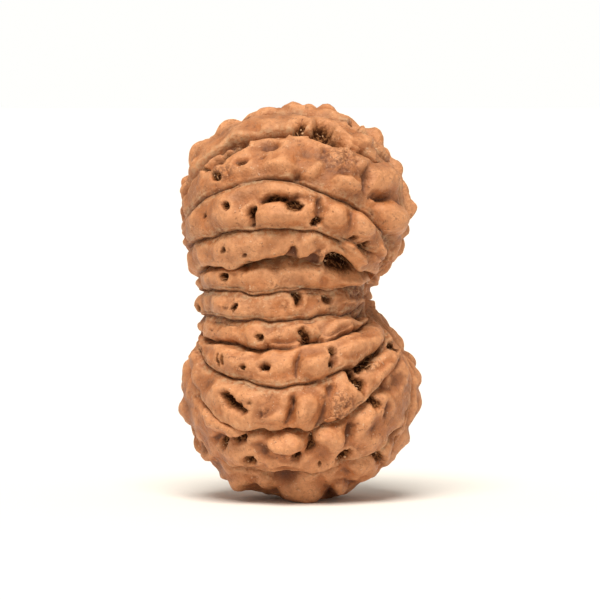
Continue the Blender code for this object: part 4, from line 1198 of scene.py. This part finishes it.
# %% [markdown]
# ## Fibres and grains left in the pits
#
# When the soft fruit rots away, threads and pale grains of it stay in the pits. One thread and
# one grain are modelled, each from a primitive with few faces. Copies are turned and sized by a
# seeded draw and laid in the pits, and at the end they are joined into one piece of each kind.

# %% Model one fibre and one grain
FIBRE_SIDES = 5
FIBRE_RINGS = 7
FIBRE_THICK = 0.045
FIBRE_BEND = 0.28

fibre_colour = new_material("husk_fibre")[0]
surface = fibre_colour.node_tree.nodes["Principled BSDF"]
surface.inputs["Base Color"].default_value = (0.50, 0.26, 0.12, 1.0)
surface.inputs["Roughness"].default_value = 0.55
grain_colour = new_material("husk_grain")[0]
surface = grain_colour.node_tree.nodes["Principled BSDF"]
surface.inputs["Base Color"].default_value = (0.62, 0.37, 0.20, 1.0)
surface.inputs["Roughness"].default_value = 0.35

bpy.ops.object.select_all(action="DESELECT")
bpy.ops.mesh.primitive_cylinder_add(vertices=FIBRE_SIDES, radius=FIBRE_THICK * MM, depth=1.0 * MM)
fibre = bpy.context.object
fibre.name = "husk_fibre_template"
shape = bmesh.new()
shape.from_mesh(fibre.data)
sides = [edge for edge in shape.edges if abs(edge.verts[0].co.z - edge.verts[1].co.z) > 0.5 * MM]
bmesh.ops.subdivide_edges(shape, edges=sides, cuts=FIBRE_RINGS)
for vertex in shape.verts:
    length = vertex.co.z / MM
    taper = 1 - 1.6 * length * length
    vertex.co.x = vertex.co.x * taper + FIBRE_BEND * (0.25 - length * length) * MM
    vertex.co.y *= taper
shape.to_mesh(fibre.data)
shape.free()
fibre.data.materials.append(fibre_colour)

bpy.ops.mesh.primitive_ico_sphere_add(subdivisions=1, radius=0.11 * MM)
grain = bpy.context.object
grain.name = "husk_grain_template"
grain.data.materials.append(grain_colour)
for template in (fibre, grain):
    template.data.shade_smooth()
print("faces:", len(fibre.data.polygons), "a fibre,", len(grain.data.polygons), "a grain")

# %% [markdown]
# A copy is laid on a point inside a pit. A fibre lies along the skin and leans a little out of
# it. A grain is only sunk in by half.

# %% Lay the copies in the pits
FIBRES = 90
GRAINS = 70
PIT_SEED = 41
draw = np.random.default_rng(PIT_SEED)
spots_for = {
    "husk_fibres": np.flatnonzero((pit_mask > 0.75) & (pit_depth > 0.5)),
    "husk_grains": np.flatnonzero((pit_mask > 0.3) & (pit_depth > 0.25)),
}


def lay_copies(template, name, count, lean, sizes):
    """Lay copies of a template on points inside the pits, and join them into one piece."""
    copies = []
    for spot in draw.choice(spots_for[name], count, replace=False):
        out = Vector(normals[spot])
        side = out.orthogonal().normalized()
        side.rotate(Matrix.Rotation(draw.uniform(0, 2 * math.pi), 3, out))
        way = (side + lean * draw.uniform(0.2, 1.0) * out).normalized()
        turned = way.to_track_quat("Z", "Y").to_matrix().to_4x4()
        size = draw.uniform(*sizes)
        lift = Vector(points[spot] * MM) + out * 0.08 * MM
        made = bpy.data.objects.new(name, template.data.copy())
        made.data.transform(Matrix.Translation(lift) @ turned @ Matrix.Scale(size, 4))
        bpy.context.collection.objects.link(made)
        copies.append(made)
    bpy.ops.object.select_all(action="DESELECT")
    for made in copies:
        made.select_set(True)
    bpy.context.view_layer.objects.active = copies[0]
    bpy.ops.object.join()
    piece = bpy.context.object
    piece.name = name
    bpy.data.objects.remove(template, do_unlink=True)
    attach(piece, BODY)
    print(name, len(piece.data.polygons), "faces")


lay_copies(fibre, "husk_fibres", FIBRES, 0.5, (0.5, 1.2))
lay_copies(grain, "husk_grains", GRAINS, 0.0, (0.5, 1.4))

# %% [markdown]
# ## Floor and light
#
# The bead stands on a plain pale floor. One broad soft light, like a large cloudy window above
# and in front, gives the crests their shine and leaves the undersides dark. The air around
# fills the shadows. The camera sees that air as the same pale tone as the floor, so no
# horizon shows behind the bead.

# %% Floor
bpy.ops.object.select_all(action="DESELECT")
bpy.ops.mesh.primitive_plane_add(size=40.0, location=(0, 0, 0))
floor = bpy.context.object
floor.name = "pale_floor"
floor_material, tree, shader = new_material("pale_floor")
shader.inputs["Base Color"].default_value = (0.86, 0.84, 0.81, 1.0)
shader.inputs["Roughness"].default_value = 0.8
shader.inputs["Specular IOR Level"].default_value = 0.2
floor.data.materials.append(floor_material)

# %% The broad light and the air around
LIGHT_FROM = Vector((0.04, -0.49, 0.86))
LIGHT_STRENGTH = 3.75
LIGHT_SPREAD = 34.0
AIR_STRENGTH = 0.46
AIR_COLOUR = (1.0, 0.95, 0.86, 1.0)
PALE_TONE = (1.0, 1.0, 0.98, 1.0)

bpy.ops.object.light_add(type="SUN", location=LIGHT_FROM)
window = bpy.context.object
window.name = "broad_window"
window.rotation_euler = (-LIGHT_FROM).to_track_quat("-Z", "Y").to_euler()
window.data.energy = LIGHT_STRENGTH
window.data.angle = math.radians(LIGHT_SPREAD)
window.data.color = (1.0, 0.95, 0.87)

world = bpy.data.worlds.new("studio_air")
world.use_nodes = True
tree = world.node_tree
air = tree.nodes["Background"]
air.inputs["Color"].default_value = AIR_COLOUR
air.inputs["Strength"].default_value = AIR_STRENGTH
backdrop = add_node(tree, "ShaderNodeBackground", Color=PALE_TONE, Strength=1.0)
chooser = add_node(tree, "ShaderNodeMixShader")
link(tree, add_node(tree, "ShaderNodeLightPath").outputs["Is Camera Ray"], chooser.inputs[0])
link(tree, air.outputs[0], chooser.inputs[1])
link(tree, backdrop.outputs[0], chooser.inputs[2])
link(tree, chooser.outputs[0], tree.nodes["World Output"].inputs["Surface"])
bpy.context.scene.world = world
bpy.context.scene.view_settings.view_transform = "Standard"
